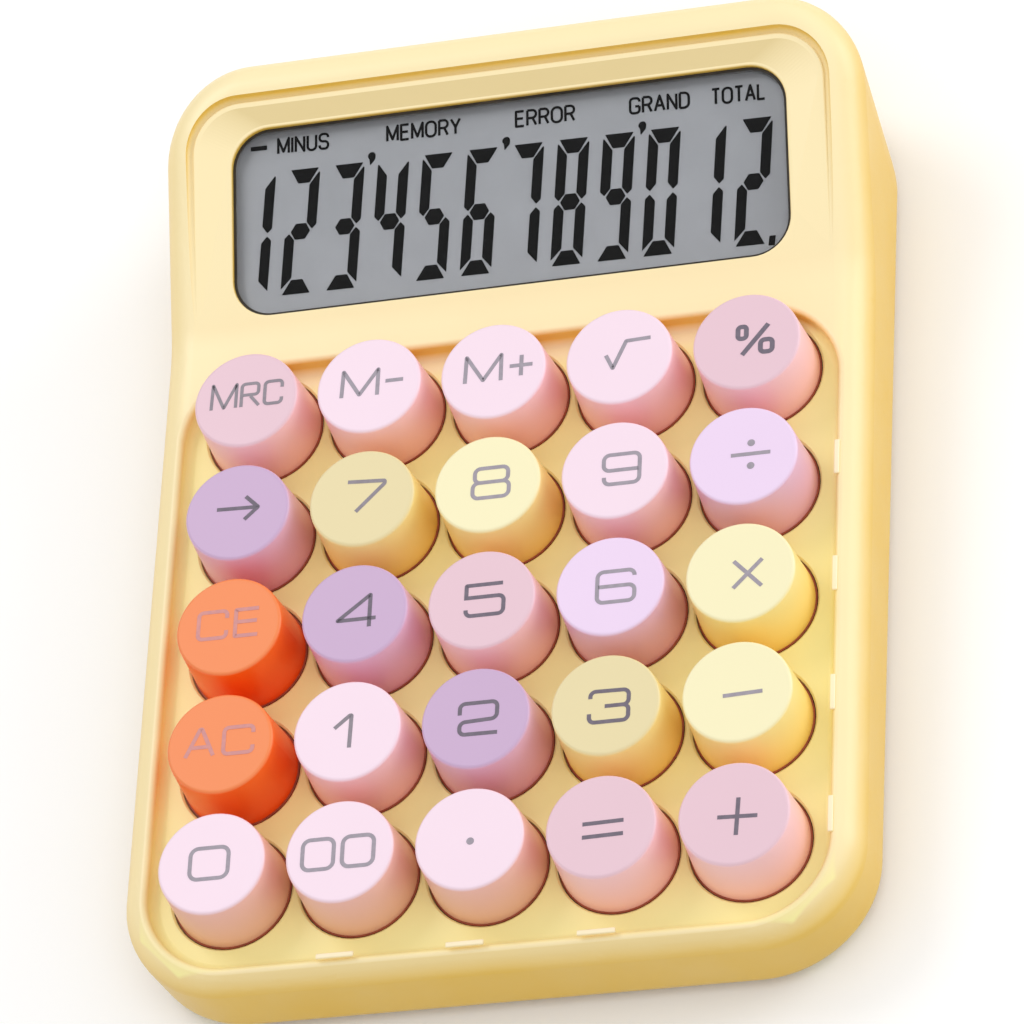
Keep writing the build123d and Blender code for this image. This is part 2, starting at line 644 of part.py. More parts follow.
def battery_hatch():
    """Snap-in door under the cell. Its rounded front edge turns under two tabs."""
    back = CELL_Y + HATCH_WIDTH / 2
    plate = block(HATCH_LENGTH, back - HATCH_AXIS, FOOT_PROUD, COVER_INSIDE, 0, (back + HATCH_AXIS) / 2)
    bead = Cylinder(HATCH_BEAD, HATCH_LENGTH, rotation=(0, 90, 0))
    plate += Pos(0, HATCH_AXIS, FOOT_PROUD + HATCH_BEAD) * bead
    low = COVER_INSIDE + HATCH_FIT
    front = HATCH_AXIS - HATCH_BEAD - HATCH_TAB_REACH
    end = HATCH_AXIS + BAY_WALL
    for x in hatch_tab_places():
        plate += block(HATCH_TAB_WIDTH, end - front, low, low + HATCH_TAB_THICK, x, (front + end) / 2)
        plate += block(HATCH_TAB_WIDTH, BAY_WALL, COVER_INSIDE, low, x, HATCH_AXIS + BAY_WALL / 2)
    groove = block(GRIP_WIDTH, GRIP_STEP / 2, FOOT_PROUD, FOOT_PROUD + GRIP_RIB)
    return plate - [Pos(0, back - (i + 1) * GRIP_STEP, 0) * groove for i in range(GRIP_RIBS)]


def foot_places():
    for side in (-1, 1):
        yield side * (WIDTH / 2 - FOOT_SIDE_INSET), -LENGTH / 2 + FOOT_FRONT_INSET
        yield side * (WIDTH / 2 - FOOT_SIDE_INSET), LENGTH / 2 - FOOT_BACK_INSET


def rubber_feet():
    foot = column(FOOT_RADIUS, 0, FOOT_PROUD + FOOT_SEAT)
    foot = fillet(foot.edges().group_by(Axis.Z)[0], FOOT_PROUD / 2)
    return [Pos(x, y, 0) * foot for x, y in foot_places()]


def battery_cell():
    lying = Pos(CELL_FLAT, CELL_Y, CELL_Z) * Rot(0, 90, 0)
    body = lying * Cylinder(CELL_RADIUS, CELL_LENGTH, align=UP)
    nub = lying * column(NUB_RADIUS, CELL_LENGTH, CELL_LENGTH + NUB_LENGTH)
    ends = body.edges().filter_by(GeomType.CIRCLE)
    return fillet(ends, BAY_FIT) + nub


def contact_plate(x):
    """Upright plate across the bay, with a solder tab standing above the bay's wall."""
    return block(CONTACT_THICK, CONTACT_WIDTH, COVER_INSIDE + CELL_LIFT, BAY_TOP + CONTACT_TAB, x, CELL_Y)


def positive_contact():
    """Flat plate against the cell's nub."""
    return contact_plate(CELL_TIP + CONTACT_THICK / 2)


def negative_contact():
    """Plate on the far wall with a bowed leaf that pushes on the cell's flat end."""
    wall = -BAY_LENGTH / 2
    mid = CONTACT_THICK / 2
    reach = CELL_FLAT - mid
    leaf = FilletPolyline(
        (wall + mid, CELL_Z - CELL_RADIUS + BAY_FIT), (reach, CELL_Z - NUB_RADIUS / 2),
        (reach, CELL_Z + NUB_RADIUS), radius=2 * CONTACT_THICK)
    strip = trace(leaf, line_width=CONTACT_THICK)
    bow = Pos(0, CELL_Y, 0) * extrude(Plane.XZ * strip, amount=CONTACT_WIDTH / 2, both=True)
    room = block(CELL_FLAT - wall, CONTACT_WIDTH, COVER_INSIDE, BAY_TOP, (CELL_FLAT + wall) / 2, CELL_Y)
    return contact_plate(wall + mid) + (bow & room)


def battery_leads():
    """Two insulated wires from the contact tabs to the back edge of the board."""
    top = BAY_TOP + CONTACT_TAB / 2
    board = KEYPAD * Location((0, BOARD_BACK_END - 2 * LEAD_RADIUS, BOARD_TOP))
    end_y = board.position.Y
    end_z = board.position.Z + LEAD_RADIUS * math.sin(TILT)
    leads = []
    for side in (-1, 1):
        x = side * (BAY_LENGTH / 2 + LEAD_RADIUS)
        start = (x, CELL_Y + CONTACT_WIDTH / 2, top)
        over = (x, end_y, top)
        down = (x, end_y, end_z)
        path = FilletPolyline(start, over, down, radius=LEAD_BEND)
        ring = Plane(origin=start, z_dir=(0, -1, 0)) * Circle(LEAD_RADIUS)
        leads.append(sweep(ring, path=path))
    return leads


def as_solids(shapes):
    """Every separate solid of one piece or of a list of pieces."""
    found = []
    for shape in shapes if isinstance(shapes, list) else [shapes]:
        found.extend(shape.solids())
    return found


def write(node, shapes):
    solids = as_solids(shapes)
    whole = solids[0] if len(solids) == 1 else Compound(children=solids)
    export_step(whole, os.path.join("parts", node + ".step"))


os.makedirs("parts", exist_ok=True)
cap = keycap()
plunger = stem()
for key, x, y in key_places():
    write("key_" + key, [KEYPAD * (Pos(x, y, 0) * cap), KEYPAD * (Pos(x, y, 0) * plunger)])
write("top_housing", top_housing())
write("base_cover", base_cover())
write("battery_hatch", battery_hatch())
write("rubber_feet", rubber_feet())
write("case_screws", case_screws())
write("display_window", display_window())
write("lcd_panel", lcd_panel())
write("display_holder", display_holder())
write("display_screws", display_screws())
write("display_ribbon", display_ribbon())
write("circuit_board", circuit_board())
write("controller_chip", controller_chip())
write("board_passives", board_passives())
write("board_screws", board_screws())
write("switch_bases", on_keypad(switch_base()))
write("switch_covers", on_keypad(switch_cover()))
write("switch_springs", on_keypad(switch_spring()))
write("switch_terminals", switch_terminals())
write("battery_cell", battery_cell())
write("positive_contact", positive_contact())
write("negative_contact", negative_contact())
write("battery_leads", battery_leads())
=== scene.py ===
import math

import bmesh
import bpy
from mathutils import Matrix, Vector


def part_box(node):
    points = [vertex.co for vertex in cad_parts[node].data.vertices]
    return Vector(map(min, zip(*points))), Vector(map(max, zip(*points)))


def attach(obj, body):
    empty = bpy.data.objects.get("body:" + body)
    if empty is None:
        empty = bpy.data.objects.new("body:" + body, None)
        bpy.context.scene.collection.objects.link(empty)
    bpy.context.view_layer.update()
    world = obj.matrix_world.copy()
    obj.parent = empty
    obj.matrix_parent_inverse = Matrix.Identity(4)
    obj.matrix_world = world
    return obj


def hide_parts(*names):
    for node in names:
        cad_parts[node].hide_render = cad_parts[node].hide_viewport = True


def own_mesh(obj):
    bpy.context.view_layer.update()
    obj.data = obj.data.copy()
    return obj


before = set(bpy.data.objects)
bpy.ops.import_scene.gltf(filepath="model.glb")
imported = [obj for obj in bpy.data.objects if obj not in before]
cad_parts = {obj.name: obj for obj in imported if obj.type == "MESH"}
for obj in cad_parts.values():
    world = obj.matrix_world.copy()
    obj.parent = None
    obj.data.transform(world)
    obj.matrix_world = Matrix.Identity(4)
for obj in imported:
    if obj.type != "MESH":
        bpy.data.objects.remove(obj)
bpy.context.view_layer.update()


# Top housing.
# The upper shell is one injection moulding in cream plastic with a satin skin. It carries the display
# window, the sunk keypad and the bosses for every screw, so it is the part that is seen and touched first.
MM = 0.001
CREAM_FACE = (252, 234, 184)
# The walls' colour is painted shade, deeper and more golden than the faces turned up.
CREAM_WALL_SHADE = (236, 192, 54)
# Painted light: the colour of the sunk keypad floor, brighter and yellower than the cream.
SUNK_FLOOR_LIGHT = (255, 245, 170)
CASE_SHINE = 0.34
CASE_GRAIN = 0.35 * MM
KEYPAD_TILT = math.radians(2.0)
KEYPAD_MIDDLE = Vector((0.0, -21.721 * MM, 24.4552 * MM))
KEYPAD_RIM = -6.3 * MM
KEYPAD_SIDE = 51.0 * MM
KEYPAD_NEAR = -73.2 * MM
KEYPAD_FAR = 22.0 * MM
KEYPAD_CORNER = 118.0 * MM
KEYPAD_FADE = 0.5 * MM
HEIGHT_REACH = 0.1
TURN_TO_TOP = (0.1, 0.95)
BLOTCH_SIZE = 14 * MM
BLOTCH_SHARE = 0.35
BLOTCH_SHADE = 0.965
SHINE_SPREAD = 0.05
SKIN_DEPTH = 0.006 * MM
BUMP_STRENGTH = 0.5


def tint(screen_colour):
    """Turns a colour as seen on a screen, 0 to 255, into the linear colour that a shader takes."""
    parts = []
    for value in screen_colour:
        share = value / 255
        parts.append(share / 12.92 if share <= 0.04045 else ((share + 0.055) / 1.055) ** 2.4)
    return (*parts, 1.0)


def new_finish(name):
    """An empty node material with its one surface shader."""
    finish = bpy.data.materials.new(name)
    finish.use_nodes = True
    tree = finish.node_tree
    return finish, tree, tree.nodes["Principled BSDF"]


def speckle(tree, grain, detail=3.0):
    """Noise on the piece's own coordinates, with blotches about as large as grain in metres."""
    place = tree.nodes.new("ShaderNodeTexCoord")
    noise = tree.nodes.new("ShaderNodeTexNoise")
    noise.inputs["Scale"].default_value = 1 / grain
    noise.inputs["Detail"].default_value = detail
    tree.links.new(place.outputs["Object"], noise.inputs["Vector"])
    return noise.outputs["Fac"]


def span(tree, source, low, high, start=0.0, end=1.0):
    """Carries a value from the stretch start to end over to the stretch low to high."""
    node = tree.nodes.new("ShaderNodeMapRange")
    node.inputs["From Min"].default_value = start
    node.inputs["From Max"].default_value = end
    node.inputs["To Min"].default_value = low
    node.inputs["To Max"].default_value = high
    tree.links.new(source, node.inputs["Value"])
    return node.outputs["Result"]


def mixed(tree, share, first, second):
    """A colour between first and second, each a plain colour or another node's output."""
    node = tree.nodes.new("ShaderNodeMix")
    node.data_type = "RGBA"
    tree.links.new(share, node.inputs["Factor"])
    for socket, colour in ((node.inputs[6], first), (node.inputs[7], second)):
        if isinstance(colour, tuple):
            socket.default_value = colour
        else:
            tree.links.new(colour, socket)
    return node.outputs[2]


def roughen(tree, shader, shine, spread, grain, depth):
    """Gives a surface its uneven gloss and its fine moulded or worn texture."""
    noise = speckle(tree, grain)
    tree.links.new(span(tree, noise, shine - spread, shine + spread), shader.inputs["Roughness"])
    bump = tree.nodes.new("ShaderNodeBump")
    bump.inputs["Strength"].default_value = BUMP_STRENGTH
    bump.inputs["Distance"].default_value = depth
    tree.links.new(noise, bump.inputs["Height"])
    tree.links.new(bump.outputs["Normal"], shader.inputs["Normal"])


def axes(tree, kind):
    """The X, Y and Z of the piece's own places, or, for the kind Normal, of the way its surface faces."""
    place = tree.nodes.new("ShaderNodeTexCoord")
    split = tree.nodes.new("ShaderNodeSeparateXYZ")
    tree.links.new(place.outputs[kind], split.inputs["Vector"])
    return split.outputs


def reach(tree, kind, direction):
    """How far the piece's own places, or the way its surface faces, go in one direction."""
    place = tree.nodes.new("ShaderNodeTexCoord")
    product = tree.nodes.new("ShaderNodeVectorMath")
    product.operation = "DOT_PRODUCT"
    product.inputs[1].default_value = direction
    tree.links.new(place.outputs[kind], product.inputs[0])
    return product.outputs["Value"]


def reckon(tree, operation, *values):
    """One step of arithmetic on the values of other nodes."""
    node = tree.nodes.new("ShaderNodeMath")
    node.operation = operation
    for socket, value in zip(node.inputs, values):
        tree.links.new(value, socket)
    return node.outputs["Value"]


def moulded_plastic(name, face, side, shine, grain):
    """Plastic with painted shade: its faces turned up keep the plain colour, and its walls take a deeper,
    painted shaded colour.
    """
    finish, tree, shader = new_finish(name)
    upward = span(tree, axes(tree, "Normal")["Z"], 0.0, 1.0, *TURN_TO_TOP)
    body = mixed(tree, upward, tint(side), tint(face))
    darker = tuple(BLOTCH_SHADE * value for value in face)
    blotch = span(tree, speckle(tree, BLOTCH_SIZE), 0.0, BLOTCH_SHARE)
    tree.links.new(mixed(tree, blotch, body, tint(darker)), shader.inputs["Base Color"])
    roughen(tree, shader, shine, SHINE_SPREAD, grain, SKIN_DEPTH)
    return finish


def dress(node, finish):
    """Puts one finish on every face of a piece of the frame."""
    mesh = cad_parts[node].data
    mesh.materials.clear()
    mesh.materials.append(finish)


def height_over_keypad(tree):
    """How far a point lies above the plane of the key tops, square to the keypad."""
    up = keypad_place.to_3x3() @ Vector((0, 0, 1))
    level = KEYPAD_MIDDLE.dot(up)
    height = reach(tree, "Object", up)
    return span(tree, height, -HEIGHT_REACH, HEIGHT_REACH, level - HEIGHT_REACH, level + HEIGHT_REACH)


keypad_place = Matrix.Translation(KEYPAD_MIDDLE) @ Matrix.Rotation(KEYPAD_TILT, 4, "X")
# The case's walls take painted shade from the cream's wall colour.
cream_plastic = moulded_plastic("cream_plastic", CREAM_FACE, CREAM_WALL_SHADE, CASE_SHINE, CASE_GRAIN)
tree = cream_plastic.node_tree
shader = tree.nodes["Principled BSDF"]
own = axes(tree, "Object")
across = reckon(tree, "ABSOLUTE", own["X"])
corner = reckon(tree, "SUBTRACT", across, own["Y"])

# The sunk floor takes painted light, a brighter and yellower colour that stands in for the light the keys
# keep from it. It ends at the keypad's rim, sides, front corners, near end and far end
bounds = (
    (height_over_keypad(tree), 1.0, 0.0, KEYPAD_RIM - 3 * KEYPAD_FADE, KEYPAD_RIM),
    (across, 1.0, 0.0, KEYPAD_SIDE - KEYPAD_FADE, KEYPAD_SIDE),
    (corner, 1.0, 0.0, KEYPAD_CORNER - KEYPAD_FADE, KEYPAD_CORNER),
    (own["Y"], 0.0, 1.0, KEYPAD_NEAR, KEYPAD_NEAR + KEYPAD_FADE),
    (own["Y"], 1.0, 0.0, KEYPAD_FAR, KEYPAD_FAR + 4 * KEYPAD_FADE),
)
sunk, *others = [span(tree, *bound) for bound in bounds]
for share in others:
    sunk = reckon(tree, "MULTIPLY", sunk, share)
skin = shader.inputs["Base Color"].links[0].from_socket
tree.links.new(mixed(tree, sunk, skin, tint(SUNK_FLOOR_LIGHT)), shader.inputs["Base Color"])
dress("top_housing", cream_plastic)


# Base cover and battery hatch.
# Both are moulded in the same cream plastic with a duller, slightly coarser spark-eroded skin. The cover
# is held by six screws, and the hatch turns on its rounded front edge.
BASE_SHINE = 0.48
BASE_GRAIN = 0.5 * MM

# The cover's and hatch's walls take the same painted shade as the top housing's.
base_plastic = moulded_plastic("base_plastic", CREAM_FACE, CREAM_WALL_SHADE, BASE_SHINE, BASE_GRAIN)
dress("base_cover", base_plastic)
dress("battery_hatch", base_plastic)


# Rubber feet.
# Four round pads of soft grey rubber are glued into shallow seats of the base cover. Their faces are
# dull and a little dusty.
RUBBER = (74, 72, 70)
RUBBER_DUST = (104, 101, 96)
RUBBER_MOTTLE = (1.2 * MM, 6.0, 0.45, 0.75)
RUBBER_SKIN = (0.82, 0.08, 0.25 * MM, 0.02 * MM)


def mottled(name, colour, other, mottle, skin, metal=0.0):
    """A finish that turns from one colour to another in soft blotches.

    The mottle is the blotches' size and detail, and the stretch of noise over which the colour turns.
    The skin is the roughness, its spread, and the size and depth of the grain.
    """
    size, detail, start, end = mottle
    finish, tree, shader = new_finish(name)
    share = span(tree, speckle(tree, size, detail), 0.0, 1.0, start, end)
    tree.links.new(mixed(tree, share, tint(colour), tint(other)), shader.inputs["Base Color"])
    shader.inputs["Metallic"].default_value = metal
    roughen(tree, shader, *skin)
    return finish


dress("rubber_feet", mottled("foot_rubber", RUBBER, RUBBER_DUST, RUBBER_MOTTLE, RUBBER_SKIN))


# Screws.
# Case, board and display screws are cross-headed and zinc plated, with a fine turned grain and a few
# darker stains. The sleeves that stand for the return springs have the same plating.
ZINC = (198, 198, 196)
ZINC_STAIN = (150, 148, 142)
ZINC_MOTTLE = (0.8 * MM, 5.0, 0.5, 0.8)
ZINC_SKIN = (0.32, 0.1, 0.12 * MM, 0.004 * MM)

zinc = mottled("zinc_plate", ZINC, ZINC_STAIN, ZINC_MOTTLE, ZINC_SKIN, metal=1.0)
for node in ("case_screws", "board_screws", "display_screws", "switch_springs"):
    dress(node, zinc)


# Display glass.
# The window is a clear acrylic sheet glued under the lip of the opening, and the display behind it is a
# grey reflective liquid crystal glass in a black holder, with a flexible amber ribbon to the board.
CLEAR = (250, 251, 251)
DISPLAY_GREY = (209, 211, 217)
DISPLAY_SHADE = (203, 205, 211)
RIBBON_AMBER = (214, 150, 62)
RIBBON_COPPER = (176, 104, 48)
RIBBON_PITCH = 1.0 * MM
BANDS_PER_UNIT = 3.2
TRACK_EDGE = (0.45, 0.55)
RIBBON_SKIN = (0.3, 0.05, 0.5 * MM, 0.004 * MM)
HOLDER_BLACK = (34, 34, 37)
HOLDER_MOTTLE = (3 * MM, 5.0, 0.0, 2.0)
HOLDER_SKIN = (0.55, 0.08, 0.3 * MM, 0.008 * MM)
DISPLAY_MOTTLE = (6 * MM, 3.0, 0.3, 0.7)
DISPLAY_SKIN = (0.6, 0.05, 0.12 * MM, 0.002 * MM)
ACRYLIC_IOR = 1.49
ACRYLIC_SMEAR = 9 * MM
ACRYLIC_SHINE = (0.01, 0.04)

acrylic, tree, shader = new_finish("clear_acrylic")
shader.inputs["Base Color"].default_value = tint(CLEAR)
shader.inputs["Transmission Weight"].default_value = 1.0
shader.inputs["IOR"].default_value = ACRYLIC_IOR
tree.links.new(span(tree, speckle(tree, ACRYLIC_SMEAR), *ACRYLIC_SHINE), shader.inputs["Roughness"])
passing = tree.nodes.new("ShaderNodeBsdfTransparent")
rays = tree.nodes.new("ShaderNodeLightPath")
choice = tree.nodes.new("ShaderNodeMixShader")
tree.links.new(rays.outputs["Is Shadow Ray"], choice.inputs["Fac"])
tree.links.new(shader.outputs["BSDF"], choice.inputs[1])
tree.links.new(passing.outputs["BSDF"], choice.inputs[2])
tree.links.new(choice.outputs["Shader"], tree.nodes["Material Output"].inputs["Surface"])
dress("display_window", acrylic)

crystal = mottled("liquid_crystal_glass", DISPLAY_GREY, DISPLAY_SHADE, DISPLAY_MOTTLE, DISPLAY_SKIN)
dress("lcd_panel", crystal)
dress("display_holder", mottled("holder_plastic", HOLDER_BLACK, RUBBER, HOLDER_MOTTLE, HOLDER_SKIN))

film, tree, shader = new_finish("ribbon_film")
place = tree.nodes.new("ShaderNodeTexCoord")
tracks = tree.nodes.new("ShaderNodeTexWave")
tracks.inputs["Scale"].default_value = 1 / (BANDS_PER_UNIT * RIBBON_PITCH)
tree.links.new(place.outputs["Object"], tracks.inputs["Vector"])
copper = span(tree, tracks.outputs["Fac"], 0.0, 1.0, *TRACK_EDGE)
tree.links.new(mixed(tree, copper, tint(RIBBON_AMBER), tint(RIBBON_COPPER)), shader.inputs["Base Color"])
roughen(tree, shader, *RIBBON_SKIN)
dress("display_ribbon", film)


# Window shadow line.
# A thin dark ring shows all round, between the edge of the opening and the clear window that is glued
# under it. It is a painted shadow in the gap at the edge of the opening. Sizes without a unit are in
# millimetres.
PANEL_TILT = math.radians(13.3)
PANEL_START = Vector((0.0, 54.861 * MM, -5.764 * MM))
OPENING_WIDTH = 86.3
OPENING_HEIGHT = 29.834
OPENING_START = 1.2
OPENING_CORNER = 6.0
OPENING_STEPS = 16
SHADOW_LINE_WIDTH = 0.45
SHADOW_LINE_LEVEL = -0.8 * MM
SHADOW_LINE_DEPTH = 0.06 * MM
SHADOW_LINE_DARK = (44, 40, 36)
SHADOW_LINE_PALE = (66, 60, 52)
SHADOW_LINE_MOTTLE = (5 * MM, 3.0, 0.35, 0.75)
SHADOW_LINE_SKIN = (0.5, 0.06, 0.4 * MM, 0.004 * MM)

panel_place = keypad_place @ Matrix.Translation(PANEL_START) @ Matrix.Rotation(PANEL_TILT, 4, "X")


def finished_piece(name, bm, place, finish, body):
    """Makes a piece of the mesh at its place in the frame, and lets it ride on its body."""
    bmesh.ops.transform(bm, matrix=place, verts=bm.verts[:])
    mesh = bpy.data.meshes.new(name)
    bm.to_mesh(mesh)
    bm.free()
    mesh.materials.append(finish)
    piece = bpy.data.objects.new(name, mesh)
    bpy.context.scene.collection.objects.link(piece)
    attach(piece, body)
    return piece


def lift(bm, extruded, height):
    """Raises the corners that an extrusion has just made."""
    corners = [part for part in extruded["geom"] if isinstance(part, bmesh.types.BMVert)]
    bmesh.ops.translate(bm, verts=corners, vec=(0, 0, height))


# The ring's dark colour is painted shadow, with random mottle.
shadow_line_finish = mottled("painted_shadow_line", SHADOW_LINE_DARK, SHADOW_LINE_PALE, SHADOW_LINE_MOTTLE, SHADOW_LINE_SKIN)
shadow_line = bmesh.new()
right = OPENING_WIDTH / 2 * MM
near = OPENING_START * MM
far = (OPENING_START + OPENING_HEIGHT) * MM
corners = ((-right, near), (right, near), (right, far), (-right, far))
outline = shadow_line.faces.new([shadow_line.verts.new((x, y, 0)) for x, y in corners])
bmesh.ops.bevel(
    shadow_line,
    geom=outline.verts[:],
    offset=OPENING_CORNER * MM,
    segments=OPENING_STEPS,
    profile=0.5,
    affect="VERTICES",
    material=-1,
)
bmesh.ops.inset_region(
    shadow_line, faces=shadow_line.faces[:], thickness=SHADOW_LINE_WIDTH * MM, use_boundary=True, use_even_offset=True
)
inner = max(shadow_line.faces, key=lambda face: len(face.verts))
bmesh.ops.delete(shadow_line, geom=[inner], context="FACES_ONLY")
lift(shadow_line, bmesh.ops.extrude_face_region(shadow_line, geom=shadow_line.faces[:]), SHADOW_LINE_DEPTH)
bmesh.ops.recalc_face_normals(shadow_line, faces=shadow_line.faces[:])
shadow_line_place = panel_place @ Matrix.Translation((0, 0, SHADOW_LINE_LEVEL))
finished_piece("window_shadow_line", shadow_line, shadow_line_place, shadow_line_finish, "case")


# Display bezel.
# A shallow dished frame of the case's own plastic lies round the window. Its ledge stands a little below
# the raised rim, with a fine groove between them, and its slope runs down to the window's edge.
BEZEL_HALF = 49.1
BEZEL_NEAR = 0.3
BEZEL_FAR = 35.3
BEZEL_CORNER = 7.5
BEZEL_END_CORNER = 1.2
BEZEL_ROUND = 0.16
BEZEL_RISE = 0.0225
BEZEL_TOP = -0.05
BEZEL_FOOT = -0.3
LEDGE_WIDTH = 0.85
SLOPE_END = 0.4
SLOPE_LEVEL = -0.02
BEZEL_STEPS = 20
# Painted shade: the colour of the bezel's slopes that face the keys.
BEZEL_SLOPE_SHADE = (231, 209, 151)
SLOPE_SHADE_TURN = (0.05, 0.22)
SLOPE_SHADE_SPREAD = (0.8, 1.0)
MERGE_REACH = 0.001 * MM


def rounded_line(bm, half, near, far, near_corner, far_corner, rise, level):
    """Adds a closed line round a plate with round corners, and gives its edges."""
    known = set(bm.edges)
    places = ((-half, near), (half, near), (half, far), (-half, far))
    corners = [bm.verts.new((x * MM, y * MM, 0)) for x, y in places]
    bm.faces.new(corners)
    for ends, corner in ((corners[:2], near_corner), (corners[2:], far_corner)):
        bmesh.ops.bevel(
            bm,
            geom=ends,
            offset=corner * MM,
            segments=BEZEL_STEPS,
            profile=0.5,
            affect="VERTICES",
            material=-1,
        )
    line = [edge for edge in bm.edges if edge not in known]
    for vertex in {vertex for edge in line for vertex in edge.verts}:
        vertex.co.z = level * MM + rise * vertex.co.y
    return line


def bezel_line(bm, inset, rise, level):
    """Adds a closed line round the panel's edge, which climbs away from the keypad."""
    half = BEZEL_HALF - inset
    return rounded_line(
        bm, half, BEZEL_NEAR, BEZEL_FAR - inset, BEZEL_END_CORNER, BEZEL_CORNER - inset, rise, level
    )


def window_line(bm, level):
    """Adds a closed line just outside the window's edge."""
    half = OPENING_WIDTH / 2 + SLOPE_END
    far = OPENING_START + OPENING_HEIGHT + SLOPE_END
    corner = OPENING_CORNER + SLOPE_END
    return rounded_line(bm, half, OPENING_START - SLOPE_END, far, corner, corner, 0, level)


def join_into(bm, part):
    """Adds a part that was made in a mesh of its own, and frees it."""
    carried = bpy.data.meshes.new("carried")
    part.to_mesh(carried)
    part.free()
    bm.from_mesh(carried)
    bpy.data.meshes.remove(carried)


bezel_plastic, tree, shader = new_finish("bezel_plastic")
# Slopes that face the keys take a painted shade, darker and deeper than the cream, whose strength varies a
# little at random.
toward_keys = reach(tree, "Normal", panel_place.to_3x3() @ Vector((0, -1, 0)))
shaded_slope = span(tree, toward_keys, 0.0, 1.0, *SLOPE_SHADE_TURN)
shade_spread = span(tree, speckle(tree, BLOTCH_SIZE), *SLOPE_SHADE_SPREAD)
slope_shade = mixed(tree, shade_spread, tint(CREAM_FACE), tint(BEZEL_SLOPE_SHADE))
tree.links.new(mixed(tree, shaded_slope, tint(CREAM_FACE), slope_shade), shader.inputs["Base Color"])
roughen(tree, shader, CASE_SHINE, SHINE_SPREAD, CASE_GRAIN, SKIN_DEPTH)

bezel = bmesh.new()
lines = (
    (bezel_line, 0, 0, BEZEL_FOOT),
    (bezel_line, 0, BEZEL_RISE, BEZEL_TOP - BEZEL_ROUND),
    (bezel_line, BEZEL_ROUND, BEZEL_RISE, BEZEL_TOP),
    (bezel_line, LEDGE_WIDTH, BEZEL_RISE, BEZEL_TOP),
    (window_line, SLOPE_LEVEL),
    (window_line, BEZEL_FOOT),
)
for (first, *first_sizes), (second, *second_sizes) in zip(lines, lines[1:] + lines[:1]):
    band = bmesh.new()
    edges = first(band, *first_sizes) + second(band, *second_sizes)
    bmesh.ops.delete(band, geom=band.faces[:], context="FACES_ONLY")
    bmesh.ops.bridge_loops(band, edges=edges)
    join_into(bezel, band)
bmesh.ops.remove_doubles(bezel, verts=bezel.verts[:], dist=MERGE_REACH)
bmesh.ops.recalc_face_normals(bezel, faces=bezel.faces[:])
finished_piece("display_bezel", bezel, panel_place, bezel_plastic, "case")


# Lip glints.
# Short pale bars show just under the lip of the sunk keypad, one beside each row at the right and one
# before each column at the front. They are painted highlights, where light through the gaps between the
# keys glints on the lip, and they ride on the case.
GLINT_FACE = (255, 242, 204)
GLINT_SIDE = (255, 234, 176)
GLINT_LENGTH = 5.6
GLINT_WIDTH = 0.8
GLINT_HEIGHT = 0.45
GLINT_ROUND = 0.2
GLINT_LEVEL = -6.52
GLINT_LAG = 2.0
GLINT_ROWS = (-2, -1, 0, 1)
GLINT_COLUMNS = (-1, 0, 1)
KEY_PITCH = 19.05
LIP_RIGHT = 50.2
LIP_FRONT = -51.0

# The bars are painted highlights, pale on top with painted shade on their walls.
glint_plastic = moulded_plastic("glint_plastic", GLINT_FACE, GLINT_SIDE, CASE_SHINE, CASE_GRAIN)
glints = bmesh.new()
beside_rows = [(LIP_RIGHT, KEY_PITCH * row + GLINT_LAG, GLINT_WIDTH, GLINT_LENGTH) for row in GLINT_ROWS]
before_columns = [
    (KEY_PITCH * column - GLINT_LAG, LIP_FRONT, GLINT_LENGTH, GLINT_WIDTH) for column in GLINT_COLUMNS
]
for x, y, width, depth in beside_rows + before_columns:
    lies = Matrix.Translation((x * MM, y * MM, GLINT_LEVEL * MM))
    size = Matrix.Diagonal((width * MM, depth * MM, GLINT_HEIGHT * MM, 1))
    bar = bmesh.ops.create_cube(glints, size=1.0, matrix=lies @ size)
    edges = {edge for vertex in bar["verts"] for edge in vertex.link_edges}
    bmesh.ops.bevel(
        glints,
        geom=list(edges),
        offset=GLINT_ROUND * MM,
        segments=4,
        profile=0.5,
        affect="EDGES",
        material=-1,
    )
finished_piece("lip_glints", glints, keypad_place, glint_plastic, "case")


# Display figures.
# Twelve slanted seven-bar figures, their group marks, the point and the status words are dark crystal
# areas in the face of the display glass. They lie flat on it, under the window.
GLASS_LEVEL = -2.2 * MM
FIGURE_DEPTH = 0.05 * MM
GLASS_MIDDLE = 16.1
GLASS_TURN = math.radians(-0.85)
FIGURE_START = -43.1
FIGURE_PITCH = 7.03
FIGURE_FOOT = 4.15
FIGURE_SLANT = 0.075
BAR_ROUND = 0.13
FIGURE_INK = (8, 8, 9)
FIGURE_INK_THIN = (16, 16, 18)
FIGURE_MOTTLE = (1.5 * MM, 3.0, 0.35, 0.75)
FIGURE_SKIN = (0.7, 0.05, 0.2 * MM, 0.002 * MM)
FIGURE_GLOSS = 0.05
SHOWN = "123456789012"
GROUP_ENDS = (2, 5, 8)

glass_place = (
    panel_place
    @ Matrix.Translation((0, GLASS_MIDDLE * MM, GLASS_LEVEL))
    @ Matrix.Rotation(GLASS_TURN, 4, "Z")
    @ Matrix.Translation((0, -GLASS_MIDDLE * MM, 0))
)

